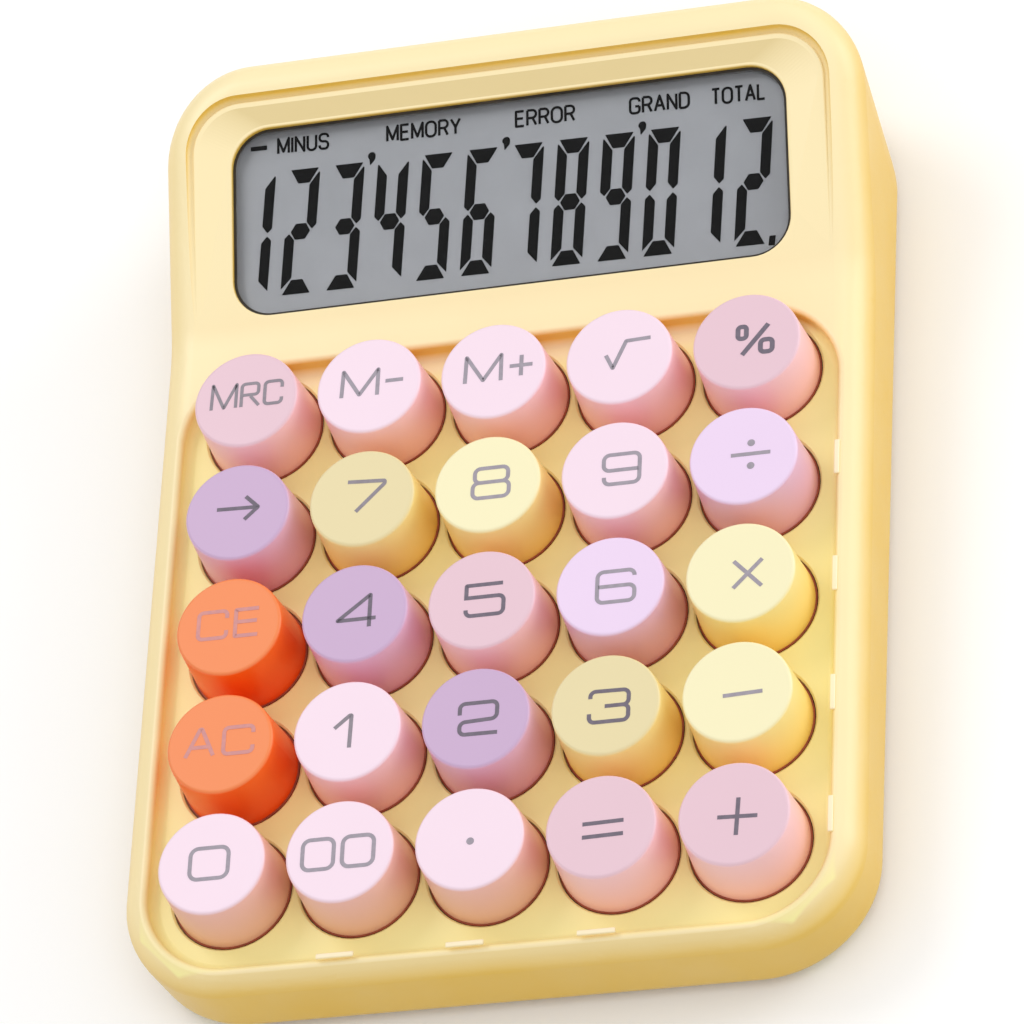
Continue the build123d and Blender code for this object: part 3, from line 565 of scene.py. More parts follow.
# The seven bars of a figure, as corner points in millimetres from the foot of its left side
BARS = {
    "top": ((0.25, 19.7), (4.65, 19.7), (3.35, 17.45), (1.55, 17.45)),
    "upper_left": ((0.0, 18.95), (0.15, 19.05), (1.55, 17.15), (1.55, 11.15), (0.68, 10.05), (0.0, 10.75)),
    "upper_right": ((4.9, 18.95), (4.9, 10.75), (4.22, 10.05), (3.35, 11.15), (3.35, 17.15), (4.75, 19.05)),
    "middle": ((0.92, 9.8), (1.65, 11.05), (3.25, 11.05), (3.98, 9.8), (3.25, 8.55), (1.65, 8.55)),
    "lower_left": ((0.0, 0.85), (0.0, 8.85), (0.68, 9.55), (1.55, 8.5), (1.55, 2.55)),
    "lower_right": ((4.9, 0.85), (3.35, 2.55), (3.35, 8.5), (4.22, 9.55), (4.9, 8.85)),
    "bottom": ((0.25, -0.05), (1.55, 2.2), (3.35, 2.2), (4.65, -0.05)),
}
FIGURES = {
    "0": ("top", "upper_left", "upper_right", "lower_left", "lower_right", "bottom"),
    "1": ("upper_right", "lower_right"),
    "2": ("top", "upper_right", "middle", "lower_left", "bottom"),
    "3": ("top", "upper_right", "middle", "lower_right", "bottom"),
    "4": ("upper_left", "upper_right", "middle", "lower_right"),
    "5": ("top", "upper_left", "middle", "lower_right", "bottom"),
    "6": ("top", "upper_left", "middle", "lower_left", "lower_right", "bottom"),
    "7": ("top", "upper_right", "lower_right"),
    "8": tuple(BARS),
    "9": ("top", "upper_left", "upper_right", "middle", "lower_right", "bottom"),
}
GROUP_MARK = (
    (-0.55, 0.75), (-0.2, 1.1), (0.35, 1.1), (0.65, 0.7),
    (0.55, -0.1), (-0.25, -1.0), (-0.35, 0.05), (-0.6, 0.3),
)
GROUP_MARK_LAG = 7.45
GROUP_MARK_LEVEL = 24.2
GROUP_MARK_ROUND = 0.16
POINT_MARK = ((0.0, 0.0), (0.95, 0.0), (1.15, 1.5), (0.2, 1.5))
POINT_LAG = 5.2
POINT_LEVEL = 3.75
POINT_ROUND = 0.1
MINUS_MARK = ((-40.8, 27.6), (-38.2, 27.6), (-38.2, 28.3), (-40.8, 28.3))
MINUS_ROUND = 0.05


def flat_patch(bm, points, corner, thickness):
    """Adds a flat closed plate with softened corners, its points given in millimetres."""
    patch = bmesh.new()
    face = patch.faces.new([patch.verts.new((x * MM, y * MM, 0)) for x, y in points])
    bmesh.ops.bevel(
        patch,
        geom=face.verts[:],
        offset=corner * MM,
        segments=3,
        profile=0.5,
        affect="VERTICES",
        material=-1,
    )
    lift(patch, bmesh.ops.extrude_face_region(patch, geom=patch.faces[:]), thickness)
    bmesh.ops.recalc_face_normals(patch, faces=patch.faces[:])
    join_into(bm, patch)


dark_crystal = mottled("dark_crystal", FIGURE_INK, FIGURE_INK_THIN, FIGURE_MOTTLE, FIGURE_SKIN)
shader = dark_crystal.node_tree.nodes["Principled BSDF"]
shader.inputs["Specular IOR Level"].default_value = FIGURE_GLOSS

lefts = [FIGURE_START + FIGURE_PITCH * number for number in range(len(SHOWN))]
figures = bmesh.new()
for left, figure in zip(lefts, SHOWN):
    for bar in FIGURES[figure]:
        corners = [(left + x + FIGURE_SLANT * y, FIGURE_FOOT + y) for x, y in BARS[bar]]
        flat_patch(figures, corners, BAR_ROUND, FIGURE_DEPTH)
finished_piece("display_figures", figures, glass_place, dark_crystal, "case")

marks = bmesh.new()
for number in GROUP_ENDS:
    left = lefts[number] + GROUP_MARK_LAG
    corners = [(left + x, GROUP_MARK_LEVEL + y) for x, y in GROUP_MARK]
    flat_patch(marks, corners, GROUP_MARK_ROUND, FIGURE_DEPTH)
left = lefts[-1] + POINT_LAG
flat_patch(marks, [(left + x, POINT_LEVEL + y) for x, y in POINT_MARK], POINT_ROUND, FIGURE_DEPTH)
flat_patch(marks, MINUS_MARK, MINUS_ROUND, FIGURE_DEPTH)
finished_piece("display_marks", marks, glass_place, dark_crystal, "case")

# The status words stand above the figures in narrow capitals. Each word has its left end and its width,
# and each capital its width and its lines, with the round of their bends, in a box of one by one.
WORDS = (
    ("MINUS", -36.6, 8.3),
    ("MEMORY", -19.3, 11.8),
    ("ERROR", 0.9, 9.4),
    ("GRAND", 18.6, 9.4),
    ("TOTAL", 31.2, 8.4),
)
WORD_FOOT = 26.75
CAPITAL_HEIGHT = 2.35
CAPITAL_PEN = 0.38
CAPITAL_GAP = 0.42
STROKE_STEP = 0.125
CAPITALS = {
    "A": (1.1, ([(0, 0), (0.5, 1), (1, 0)], 0.03), ([(0.25, 0.34), (0.75, 0.34)], 0)),
    "D": (1.05, ([(0, 0), (0, 1)], 0), ([(0, 1), (1, 1), (1, 0), (0, 0)], 0.55)),
    "E": (0.9, ([(1, 1), (0, 1), (0, 0), (1, 0)], 0.03), ([(0.1, 0.52), (0.9, 0.52)], 0)),
    "G": (
        1.1,
        ([(1, 0.75), (1, 1), (0, 1), (0, 0), (1, 0), (1, 0.45)], 0.38),
        ([(1, 0.45), (0.55, 0.45)], 0),
    ),
    "I": (0.0, ([(0, 0), (0, 1)], 0)),
    "L": (0.85, ([(0, 1), (0, 0), (1, 0)], 0.03)),
    "M": (1.25, ([(0, 0), (0, 1), (0.5, 0.1), (1, 1), (1, 0)], 0.03)),
    "N": (1.0, ([(0, 0), (0, 1), (1, 0), (1, 1)], 0.03)),
    "O": (1.15, ([(0.5, 1), (0, 1), (0, 0), (1, 0), (1, 1), (0.5, 1)], 0.55)),
    "R": (
        1.0,
        ([(0, 0), (0, 1)], 0),
        ([(0, 1), (1, 1), (1, 0.48), (0, 0.48)], 0.44),
        ([(0.6, 0.48), (1, 0)], 0),
    ),
    "S": (
        1.0,
        ([(1, 0.75), (1, 1), (0, 1), (0, 0.52), (1, 0.48), (1, 0), (0, 0), (0, 0.25)], 0.38),
    ),
    "T": (0.95, ([(0, 1), (1, 1)], 0), ([(0.5, 0.95), (0.5, 0)], 0)),
    "U": (1.0, ([(0, 1), (0, 0), (1, 0), (1, 1)], 0.48)),
    "Y": (1.05, ([(0, 1), (0.5, 0.45), (1, 1)], 0.03), ([(0.5, 0.4), (0.5, 0)], 0)),
}


def pen_line(bm, points, corner, closed, pen, depth):
    """Adds a flat line of even width along points in millimetres, with its bends rounded."""
    line = bmesh.new()
    stops = [line.verts.new((x * MM, y * MM, 0)) for x, y in points]
    ends = stops[1:] + stops[:1] if closed else stops[1:]
    for start, end in zip(stops, ends):
        line.edges.new((start, end))
    bends = stops if closed else stops[1:-1]
    if bends:
        bmesh.ops.bevel(
            line, geom=bends, offset=corner * MM, segments=6, profile=0.5, affect="VERTICES", material=-1
        )
    lift(line, bmesh.ops.extrude_edge_only(line, edges=line.edges[:]), depth)
    bmesh.ops.recalc_face_normals(line, faces=line.faces[:])
    line.normal_update()
    for vertex in line.verts:
        vertex.co += vertex.normal * vertex.calc_shell_factor() * pen * MM / 2
    bmesh.ops.solidify(line, geom=line.faces[:], thickness=pen * MM)
    bmesh.ops.recalc_face_normals(line, faces=line.faces[:])
    join_into(bm, line)


words = bmesh.new()
for word, left, width in WORDS:
    spans = [CAPITALS[letter][0] for letter in word]
    unit = (width - CAPITAL_PEN) / (sum(spans) + CAPITAL_GAP * (len(word) - 1))
    start = left + CAPITAL_PEN / 2
    for letter, wide in zip(word, spans):
        for order, (points, corner) in enumerate(CAPITALS[letter][1:]):
            line = [(start + x * wide * unit, WORD_FOOT + y * CAPITAL_HEIGHT) for x, y in points]
            depth = FIGURE_DEPTH * (1 + order * STROKE_STEP)
            pen_line(words, line, corner * unit, False, CAPITAL_PEN, depth)
        start += (wide + CAPITAL_GAP) * unit
finished_piece("display_words", words, glass_place, dark_crystal, "case")


# Keycaps.
# Twenty-five round caps are moulded in seven soft colours of satin plastic, tapered towards the top.
# Each sits on the stem of its own switch and drops straight down into its hole.
KEY_SHINE = 0.38
KEY_GRAIN = 0.22 * MM
CAP_HEIGHT = 9.3 * MM

# Painted shade on the wall of each family of caps, as its colour just under the top and its colour at the
# foot, which is deeper and warmer as painted shade and painted bounce light from the floor
KEY_WALL_SHADES = {
    "pink": ((254, 208, 218), (252, 192, 184)),
    "lilac": ((232, 188, 218), (230, 166, 180)),
    "yellow": ((254, 234, 156), (255, 216, 112)),
    "orange": ((255, 106, 24), (255, 88, 6)),
    "pale": ((246, 194, 190), (236, 182, 154)),
}
CAP_TOPS = {
    "rose": (230, 196, 208),
    "blush": (244, 220, 234),
    "lilac": (202, 172, 206),
    "lavender": (236, 212, 240),
    "straw": (231, 216, 168),
    "lemon": (246, 238, 194),
    "orange": (245, 140, 82),
}

# Each key's family of caps and the plastic of its top, row by row from the display
KEY_CAPS = {
    "memory_recall": ("pink", "rose"),
    "memory_minus": ("pink", "blush"),
    "memory_plus": ("pink", "blush"),
    "square_root": ("pink", "blush"),
    "percent": ("pink", "rose"),
    "backspace": ("lilac", "lilac"),
    "7": ("yellow", "straw"),
    "8": ("yellow", "lemon"),
    "9": ("pink", "blush"),
    "divide": ("lilac", "lavender"),
    "clear_entry": ("orange", "orange"),
    "4": ("lilac", "lilac"),
    "5": ("pink", "rose"),
    "6": ("lilac", "lavender"),
    "multiply": ("yellow", "lemon"),
    "all_clear": ("orange", "orange"),
    "1": ("pink", "blush"),
    "2": ("lilac", "lilac"),
    "3": ("yellow", "straw"),
    "minus": ("yellow", "lemon"),
    "0": ("pale", "blush"),
    "00": ("pale", "blush"),
    "decimal": ("pale", "blush"),
    "equals": ("pink", "rose"),
    "plus": ("pink", "rose"),
}


def cap_plastic(name, face, side, foot):
    """Cap plastic with painted shade: pale on the flat top, deeper on the wall, and warmer towards the foot
    as painted bounce light.
    """
    finish, tree, shader = new_finish(name)
    upward = span(tree, axes(tree, "Normal")["Z"], 0.0, 1.0, *TURN_TO_TOP)
    height = span(tree, height_over_keypad(tree), 0.0, 1.0, -CAP_HEIGHT, 0.0)
    wall = mixed(tree, height, tint(foot), tint(side))
    body = mixed(tree, upward, wall, tint(face))
    darker = tuple(BLOTCH_SHADE * value for value in face)
    blotch = span(tree, speckle(tree, BLOTCH_SIZE), 0.0, BLOTCH_SHARE)
    patches = reckon(tree, "MULTIPLY", blotch, upward)
    tree.links.new(mixed(tree, patches, body, tint(darker)), shader.inputs["Base Color"])
    roughen(tree, shader, KEY_SHINE, SHINE_SPREAD, KEY_GRAIN, SKIN_DEPTH)
    return finish


for key, (family, top) in KEY_CAPS.items():
    dress("key_" + key, cap_plastic("cap_" + key, CAP_TOPS[top], *KEY_WALL_SHADES[family]))


# Cap foot shade rings.
# A thin red-brown ring runs round the foot of every cap, just under the edge of its hole, and narrows the
# gap. It is painted shade that stands for the shadow in the gap round the cap, and it moves with the cap.
KEYS_IN_ROW = 5
SHADE_RING = ((8.5, -9.55), (8.86, -9.6), (8.86, -9.85), (8.5, -10.0))
SHADE_RING_STEPS = 64
SHADE_RING_BROWN = (150, 70, 44)
SHADE_RING_RED = (172, 84, 50)
SHADE_RING_MOTTLE = (2 * MM, 3.0, 0.35, 0.75)
SHADE_RING_SKIN = (0.6, 0.06, 0.4 * MM, 0.004 * MM)

# The ring's colour is painted shade, with random mottle.
shade_ring_plastic = mottled("shade_ring_plastic", SHADE_RING_BROWN, SHADE_RING_RED, SHADE_RING_MOTTLE, SHADE_RING_SKIN)
key_places = {}
for order, key in enumerate(KEY_CAPS):
    row, column = divmod(order, KEYS_IN_ROW)
    middle = KEYS_IN_ROW // 2
    spot = (KEY_PITCH * (column - middle) * MM, KEY_PITCH * (middle - row) * MM, 0)
    key_places[key] = keypad_place @ Matrix.Translation(spot)
for key, cap_place in key_places.items():
    shade_ring = bmesh.new()
    corners = [shade_ring.verts.new((radius * MM, 0, level * MM)) for radius, level in SHADE_RING]
    profile = [shade_ring.edges.new(ends) for ends in zip(corners, corners[1:] + corners[:1])]
    bmesh.ops.spin(
        shade_ring,
        geom=corners + profile,
        cent=(0, 0, 0),
        axis=(0, 0, 1),
        angle=2 * math.pi,
        steps=SHADE_RING_STEPS,
        use_merge=True,
    )
    bmesh.ops.recalc_face_normals(shade_ring, faces=shade_ring.faces[:])
    finished_piece("shade_ring_" + key, shade_ring, cap_place, shade_ring_plastic, "key_" + key)


# Key legends.
# The signs are printed on the caps in thin grey ink that lets some of the cap through, as lines of even
# width with rounded bends. Each print is a film on the flat top of its cap and moves with it.
PRINT_DEPTH = 0.03 * MM
PRINT_STEP = 0.008 * MM
PEN = 0.6
OTHER_PENS = {"percent": 0.72, "memory_recall": 0.5}
DOT_RADIUS = 0.56
DOT_STEPS = 24
DOT_ROUND = 0.02
INK_MOTTLE = (0.8 * MM, 4.0, 0.4, 0.8)
INK_SKIN = (0.55, 0.08, 0.2 * MM, 0.002 * MM)
INKS = {
    "dark": ((112, 103, 117), (124, 114, 128)),
    "grey": ((140, 132, 141), (152, 144, 153)),
    "pale": ((156, 148, 159), (168, 160, 171)),
    "mauve": ((206, 142, 142), (222, 150, 140)),
}
INK_ON_KEYS = {
    "dark": ("percent", "backspace", "4", "5", "2", "3", "equals", "plus"),
    "grey": ("memory_recall", "7", "1"),
    "mauve": ("clear_entry", "all_clear"),
}

# Each legend is a list of lines: their points and the round of their bends in millimetres from the middle
# of the cap, and whether they close. Lines that meet lie a small step above each other.
LEGENDS = {
    "memory_recall": [
        ([(-5.3, -1.2), (-5.2, 3.0), (-3.35, -1.1), (-1.5, 2.8), (-1.5, -1.2)], 0.1, False),
        ([(-0.65, -1.2), (-0.65, 2.65), (1.95, 2.65), (1.95, 0.75), (-0.4, 0.75)], 0.55, False),
        ([(0.75, 0.5), (2.1, -1.2)], 0.1, False),
        ([(5.6, 1.5), (5.6, 2.65), (2.95, 2.65), (2.95, -1.15), (5.6, -1.15), (5.6, -0.2)], 0.6, False),
    ],
    "memory_minus": [
        ([(-4.1, -1.7), (-3.95, 2.7), (-1.35, -1.5), (1.4, 2.6), (1.4, -1.8)], 0.1, False),
        ([(2.6, 0.4), (5.3, 0.4)], 0.1, False),
    ],
    "memory_plus": [
        ([(-4.2, -1.7), (-4.1, 2.7), (-1.45, -1.5), (1.2, 2.6), (1.25, -1.8)], 0.1, False),
        ([(2.55, 0.4), (6.0, 0.4)], 0.1, False),
        ([(4.3, 2.1), (4.3, -1.35)], 0.1, False),
    ],
    "square_root": [([(-1.95, 0.3), (-0.85, -2.0), (1.05, 2.4), (4.7, 2.55)], 0.1, False)],
    "percent": [
        ([(-1.25, 2.45), (0.0, 2.45), (0.0, 0.45), (-1.25, 0.45)], 0.5, True),
        ([(2.15, -0.1), (3.9, -0.1), (3.9, -2.15), (2.15, -2.15)], 0.6, True),
        ([(-0.55, -2.3), (3.25, 2.5)], 0.1, False),
    ],
    "backspace": [
        ([(-3.15, 0.65), (3.05, 0.45)], 0.1, False),
        ([(1.2, 2.4), (3.2, 0.45), (1.2, -1.45)], 0.1, False),
    ],
    "7": [([(-2.2, 2.85), (3.45, 2.5), (3.45, 2.05), (-0.75, -2.25)], 0.2, False)],
    "8": [
        ([(-2.15, 0.25), (3.3, 0.25), (3.3, -2.3), (-2.15, -2.3)], 0.9, True),
        ([(-0.9, 0.25), (-1.9, 0.25), (-1.9, 2.6), (3.1, 2.6), (3.1, 0.25), (2.1, 0.25)], 0.85, False),
    ],
    "9": [
        (
            [(3.6, -0.15), (-1.6, -0.15), (-1.6, 2.45), (3.75, 2.45)]
            + [(3.75, -2.4), (-1.5, -2.4), (-1.5, -1.2)],
            0.9,
            False,
        ),
    ],
    "divide": [([(-1.8, 0.1), (4.0, 0.1)], 0.1, False)],
    "clear_entry": [
        ([(-0.3, 1.4), (-0.3, 2.6), (-4.6, 2.6), (-4.6, -1.75), (-0.3, -1.75), (-0.3, -0.6)], 0.7, False),
        ([(4.5, 2.55), (1.05, 2.55), (1.05, -1.75), (4.5, -1.75)], 0.1, False),
        ([(1.3, 0.55), (4.3, 0.55)], 0.1, False),
    ],
    "4": [([(3.3, -1.1), (-2.45, -1.1), (2.35, 2.75), (2.35, -2.45)], 0.12, False)],
    "5": [
        ([(3.15, 2.4), (-2.25, 2.4), (-2.25, 0.1)], 0.12, False),
        ([(-2.25, 0.4), (3.35, 0.4), (3.35, -2.55), (-2.25, -2.55), (-2.25, -1.55)], 0.8, False),
    ],
    "6": [
        (
            [(3.6, 1.35), (3.6, 2.3), (-1.85, 2.3), (-1.85, -2.65)]
            + [(3.65, -2.65), (3.65, -0.1), (-1.7, -0.1)],
            0.9,
            False,
        ),
    ],
    "multiply": [([(-0.95, 1.8), (3.2, -2.55)], 0.1, False), ([(3.2, 1.8), (-0.95, -2.55)], 0.1, False)],
    "all_clear": [
        ([(-5.1, -1.85), (-3.1, 2.55), (-2.8, 2.55), (-0.9, -1.8)], 0.1, False),
        ([(-4.25, -0.35), (-1.6, -0.35)], 0.1, False),
        ([(5.0, 1.3), (5.0, 2.4), (0.6, 2.4), (0.6, -1.8), (5.0, -1.8), (5.0, -0.7)], 0.7, False),
    ],
    "1": [([(-1.85, 0.5), (0.35, 2.4), (0.6, 2.4), (0.5, -2.75)], 0.12, False)],
    "2": [
        (
            [(-2.3, 0.6), (-2.3, 2.35), (3.2, 2.35), (3.2, -0.35)]
            + [(-2.25, -0.6), (-2.25, -2.55), (3.35, -2.6)],
            0.8,
            False,
        ),
    ],
    "3": [
        ([(-2.2, 1.1), (-2.2, 2.2), (3.4, 2.1), (3.4, -0.25), (-0.05, -0.25)], 0.8, False),
        ([(2.5, -0.25), (3.4, -0.25), (3.4, -2.7), (-2.3, -2.7), (-2.3, -1.3)], 0.8, False),
    ],
    "minus": [([(-2.0, -0.55), (3.7, -0.3)], 0.1, False)],
    "0": [([(-3.1, 2.45), (2.6, 2.45), (2.6, -2.4), (-3.1, -2.4)], 1.2, True)],
    "00": [
        ([(-5.4, 2.1), (-0.8, 2.1), (-0.8, -2.6), (-5.4, -2.6)], 1.1, True),
        ([(0.5, 2.15), (5.1, 2.15), (5.1, -2.55), (0.5, -2.55)], 1.1, True),
    ],
    "decimal": [],
    "equals": [([(-2.6, 0.5), (3.3, 0.65)], 0.1, False), ([(-2.6, -1.55), (3.3, -1.4)], 0.1, False)],
    "plus": [([(-2.3, -0.4), (3.4, -0.6)], 0.1, False), ([(0.65, 2.4), (0.4, -3.35)], 0.1, False)],
}
DOTS = {"divide": [(1.15, 1.9), (1.15, -1.85)], "decimal": [(0.2, -0.4)]}

inks = {}
for shade, colours in INKS.items():
    inks[shade] = mottled(shade + "_ink", *colours, INK_MOTTLE, INK_SKIN)
shades = {key: shade for shade, keys in INK_ON_KEYS.items() for key in keys}
turns = [2 * math.pi * step / DOT_STEPS for step in range(DOT_STEPS)]
for key, cap_place in key_places.items():
    pen = OTHER_PENS.get(key, PEN)
    print_film = bmesh.new()
    for order, (points, corner, closed) in enumerate(LEGENDS[key]):
        pen_line(print_film, points, corner, closed, pen, PRINT_DEPTH + order * PRINT_STEP)
    for x, y in DOTS.get(key, []):
        ring = [(x + DOT_RADIUS * math.cos(turn), y + DOT_RADIUS * math.sin(turn)) for turn in turns]
        flat_patch(print_film, ring, DOT_ROUND, PRINT_DEPTH)
    ink = inks[shades.get(key, "pale")]
    finished_piece("legend_" + key, print_film, cap_place, ink, "key_" + key)


# Switches.
# Every key has a low switch with a black base, a milky cover, a steel return spring and two tinned
# terminals soldered to the board.
SWITCH_BLACK = (30, 30, 32)
SWITCH_WORN = (52, 52, 55)
COVER_MILK = (226, 227, 228)
COVER_SHADE = (206, 208, 210)
TIN = (212, 210, 204)
TIN_DULL = (176, 172, 162)
SWITCH_MOTTLE = (2 * MM, 5.0, 0.5, 0.9)
SWITCH_SKIN = (0.5, 0.08, 0.3 * MM, 0.008 * MM)
COVER_MOTTLE = (3 * MM, 3.0, 0.3, 0.7)
COVER_SKIN = (0.4, 0.06, 0.3 * MM, 0.006 * MM)
TIN_MOTTLE = (0.9 * MM, 5.0, 0.4, 0.8)
TIN_SKIN = (0.3, 0.1, 0.15 * MM, 0.004 * MM)

dress("switch_bases", mottled("black_nylon", SWITCH_BLACK, SWITCH_WORN, SWITCH_MOTTLE, SWITCH_SKIN))
dress("switch_covers", mottled("milky_plastic", COVER_MILK, COVER_SHADE, COVER_MOTTLE, COVER_SKIN))
tinned = mottled("tinned_metal", TIN, TIN_DULL, TIN_MOTTLE, TIN_SKIN, metal=1.0)
for node in ("switch_terminals", "positive_contact", "negative_contact"):
    dress(node, tinned)


# Return springs.
# A coil of steel wire stands in every switch, from the base's floor up into the bore of the cap's stem.
SPRING_FOOT = -16.17
SPRING_TOP = -10.13
SPRING_MIDDLE_RADIUS = 1.62
SPRING_WIRE = 0.34
SPRING_TURNS = 7
SPRING_STEPS = 20
WIRE_SIDES = 6

coil_length = SPRING_TOP - SPRING_FOOT
coil_rise = (coil_length - SPRING_WIRE) / (SPRING_TURNS * SPRING_STEPS)
wire_radius = SPRING_WIRE / 2 * MM
first_spot = Matrix.Translation((SPRING_MIDDLE_RADIUS * MM, 0, SPRING_FOOT * MM + wire_radius))
wire_start = first_spot @ Matrix.Rotation(math.radians(90), 4, "X")
for key, switch_place in key_places.items():
    coil = bmesh.new()
    bmesh.ops.create_circle(coil, segments=WIRE_SIDES, radius=wire_radius, matrix=wire_start)
    bmesh.ops.spin(
        coil,
        geom=coil.verts[:] + coil.edges[:],
        cent=(0, 0, 0),
        dvec=(0, 0, coil_rise * MM),
        axis=(0, 0, 1),
        angle=2 * math.pi * SPRING_TURNS,
        steps=SPRING_TURNS * SPRING_STEPS,
    )
    bmesh.ops.holes_fill(coil, edges=coil.edges[:], sides=WIRE_SIDES)
    bmesh.ops.recalc_face_normals(coil, faces=coil.faces[:])
    spring = finished_piece("spring_" + key, coil, switch_place, zinc, "case")
    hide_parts("switch_springs")
    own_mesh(spring)


# Circuit board.
# A green glass-fibre board under a gloss mask carries the switches on top and the controller chip and
# chip components underneath. Buried copper tracks show as paler lanes.
MASK_GREEN = (18, 92, 52)
TRACK_GREEN = (34, 124, 74)
LANE_PITCH = 7.62 * MM
LANE_EDGE = (0.05, 0.09)
MASK_SKIN = (0.3, 0.05, 0.4 * MM, 0.004 * MM)
CHIP_BLACK = (28, 28, 30)
CHIP_GREY = (48, 48, 50)
CERAMIC = (190, 160, 124)
CERAMIC_DARK = (120, 94, 70)
CHIP_MOTTLE = (0.2 * MM, 5.0, 0.4, 0.8)
CHIP_SKIN = (0.6, 0.08, 0.12 * MM, 0.006 * MM)
CERAMIC_MOTTLE = (1.2 * MM, 4.0, 0.35, 0.75)
CERAMIC_SKIN = (0.45, 0.08, 0.2 * MM, 0.004 * MM)

mask, tree, shader = new_finish("solder_mask")
place = tree.nodes.new("ShaderNodeTexCoord")
lanes = tree.nodes.new("ShaderNodeTexVoronoi")
lanes.feature = "DISTANCE_TO_EDGE"
lanes.inputs["Scale"].default_value = 1 / LANE_PITCH
tree.links.new(place.outputs["Object"], lanes.inputs["Vector"])
copper = span(tree, lanes.outputs["Distance"], 1.0, 0.0, *LANE_EDGE)
tree.links.new(mixed(tree, copper, tint(MASK_GREEN), tint(TRACK_GREEN)), shader.inputs["Base Color"])
roughen(tree, shader, *MASK_SKIN)
dress("circuit_board", mask)

dress("controller_chip", mottled("chip_epoxy", CHIP_BLACK, CHIP_GREY, CHIP_MOTTLE, CHIP_SKIN))
dress("board_passives", mottled("chip_ceramic", CERAMIC, CERAMIC_DARK, CERAMIC_MOTTLE, CERAMIC_SKIN))


# Battery cell and leads.
# One small cell in a printed steel jacket lies in the bay behind the hatch, between a flat contact and a
# spring contact. A red and a black lead run from them to the board.
JACKET_DARK = (42, 44, 50)
JACKET_COPPER = (196, 132, 74)
LEAD_RED = (176, 34, 30)
LEAD_BLACK = (32, 32, 34)
BAND_SHARE = 0.7
BAND_FADE = 0.2 * MM
JACKET_METAL = 0.6
JACKET_SKIN = (0.3, 0.06, 0.5 * MM, 0.003 * MM)
LEAD_SKIN = (0.45, 0.06, 0.3 * MM, 0.004 * MM)


def two_coloured(name, left_colour, right_colour, edge, skin, metal=0.0):
    """A finish of two plain colours that meet at one place from left to right."""
    finish, tree, shader = new_finish(name)
    side = span(tree, axes(tree, "Object")["X"], 0.0, 1.0, edge - BAND_FADE / 2, edge + BAND_FADE / 2)
    tree.links.new(mixed(tree, side, tint(left_colour), tint(right_colour)), shader.inputs["Base Color"])
    shader.inputs["Metallic"].default_value = metal
    roughen(tree, shader, *skin)
    return finish


cell_low, cell_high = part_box("battery_cell")
band_edge = cell_low.x + BAND_SHARE * (cell_high.x - cell_low.x) + BAND_FADE / 2
jacket = two_coloured("cell_jacket", JACKET_DARK, JACKET_COPPER, band_edge, JACKET_SKIN, JACKET_METAL)
dress("battery_cell", jacket)

lead_low, lead_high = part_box("battery_leads")
lead_middle = (lead_low.x + lead_high.x) / 2
dress("battery_leads", two_coloured("lead_sleeve", LEAD_BLACK, LEAD_RED, lead_middle, LEAD_SKIN))


# Floor and light.
# The calculator stands on a plain sheet that looks white, in a pale room that is dimmer in reflections.
# A soft lamp stands behind its left side, a weak one hangs above, and one lights its right side from low
# down. Each lamp has its place and width in metres, and its power.
SHEET_SIZE = 3.0
SHEET_DROP = 0.1 * MM
SHEET_WHITE = (255, 255, 255)
SHEET_BOUNCE = (205, 196, 178)
SHEET_ROUGHNESS = 0.9
ROOM_STRENGTH = 0.82
ROOM_REFLECTION = 0.15
LAMPS = {
    "back_left_lamp": ((-0.55, 0.42, 0.85), 0.5, 2.0),
    "upper_lamp": ((0.3, -0.35, 0.95), 0.6, 1.0),
    "right_lamp": ((0.95, 0.5, 0.3), 0.8, 4.3),
}

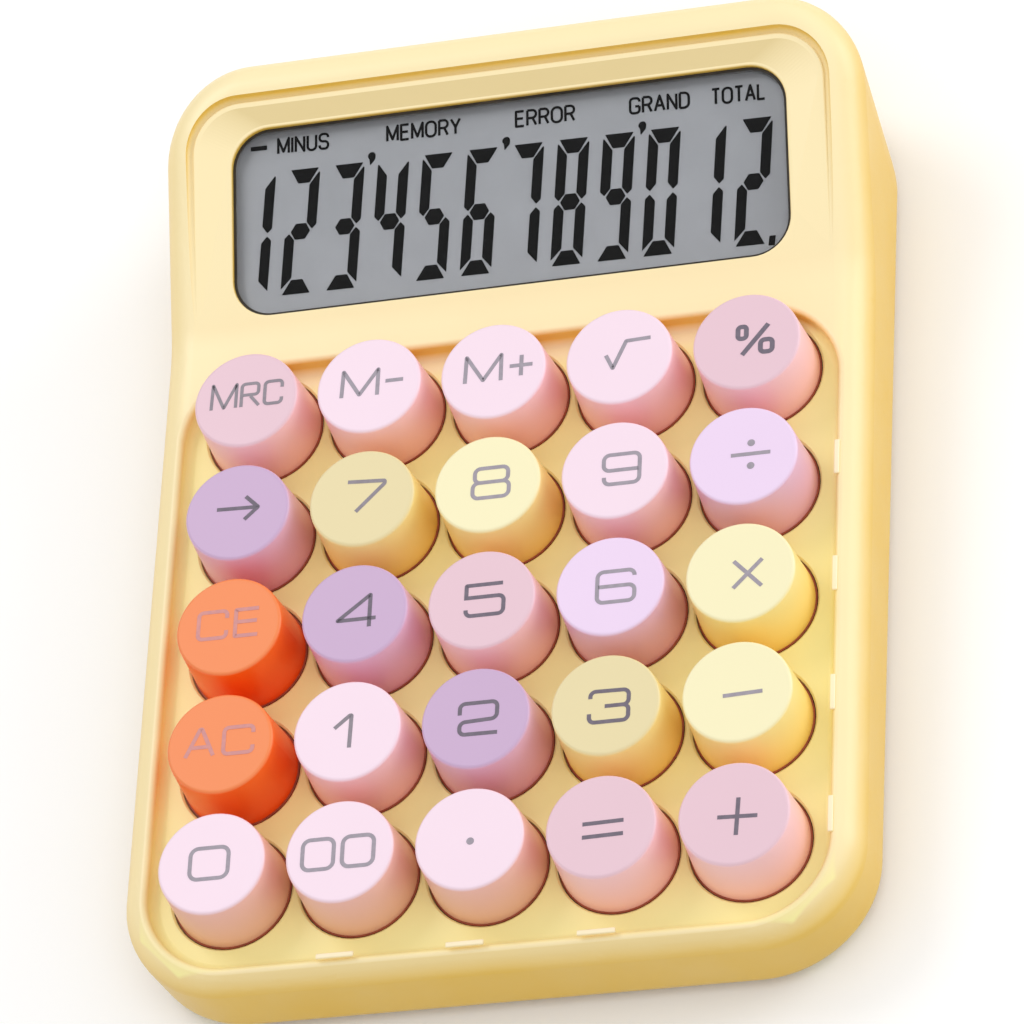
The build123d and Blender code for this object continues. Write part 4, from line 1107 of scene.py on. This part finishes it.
paper, tree, shader = new_finish("white_sheet")
rays = tree.nodes.new("ShaderNodeLightPath")
seen = rays.outputs["Is Camera Ray"]
for kind in ("Is Glossy Ray", "Is Transmission Ray"):
    seen = reckon(tree, "MAXIMUM", seen, rays.outputs[kind])
tree.links.new(mixed(tree, seen, tint(SHEET_BOUNCE), tint(SHEET_WHITE)), shader.inputs["Base Color"])
shader.inputs["Roughness"].default_value = SHEET_ROUGHNESS
sheet = bmesh.new()
bmesh.ops.create_grid(sheet, x_segments=1, y_segments=1, size=SHEET_SIZE)
bmesh.ops.translate(sheet, verts=sheet.verts[:], vec=(0, 0, -SHEET_DROP))
sheet_mesh = bpy.data.meshes.new("floor_sheet")
sheet.to_mesh(sheet_mesh)
sheet.free()
sheet_mesh.materials.append(paper)
floor_sheet = bpy.data.objects.new("floor_sheet", sheet_mesh)
bpy.context.scene.collection.objects.link(floor_sheet)

room = bpy.data.worlds.new("pale_room")
room.use_nodes = True
tree = room.node_tree
lighting = tree.nodes["Background"]
lighting.inputs["Color"].default_value = (1.0, 1.0, 1.0, 1.0)
rays = tree.nodes.new("ShaderNodeLightPath")
strength = span(tree, rays.outputs["Is Glossy Ray"], ROOM_STRENGTH, ROOM_REFLECTION)
tree.links.new(strength, lighting.inputs["Strength"])
bpy.context.scene.world = room

for name, (place, size, power) in LAMPS.items():
    lamp = bpy.data.lights.new(name, "AREA")
    lamp.shape = "DISK"
    lamp.size = size
    lamp.energy = power
    stand = bpy.data.objects.new(name, lamp)
    stand.location = place
    stand.rotation_euler = (-Vector(place)).to_track_quat("-Z", "Y").to_euler()
    bpy.context.scene.collection.objects.link(stand)


# Camera.
# A long lens looks down from the front right, turned a little so that the calculator leans in the frame.
CAMERA_PLACE = (231.80 * MM, -455.00 * MM, 715.44 * MM)
CAMERA_TURN = (32.519, 16.395, 3.119)
CAMERA_LENS = 209.12
SENSOR_WIDTH = 36.0
NEAREST_SEEN = 0.05
FURTHEST_SEEN = 20.0

lens = bpy.data.cameras.new("long_lens")
lens.lens = CAMERA_LENS
lens.sensor_width = SENSOR_WIDTH
lens.clip_start = NEAREST_SEEN
lens.clip_end = FURTHEST_SEEN
camera = bpy.data.objects.new("camera", lens)
camera.location = CAMERA_PLACE
camera.rotation_euler = [math.radians(angle) for angle in CAMERA_TURN]
bpy.context.scene.collection.objects.link(camera)
bpy.context.scene.camera = camera
bpy.context.scene.view_settings.view_transform = "Standard"

bpy.context.view_layer.update()
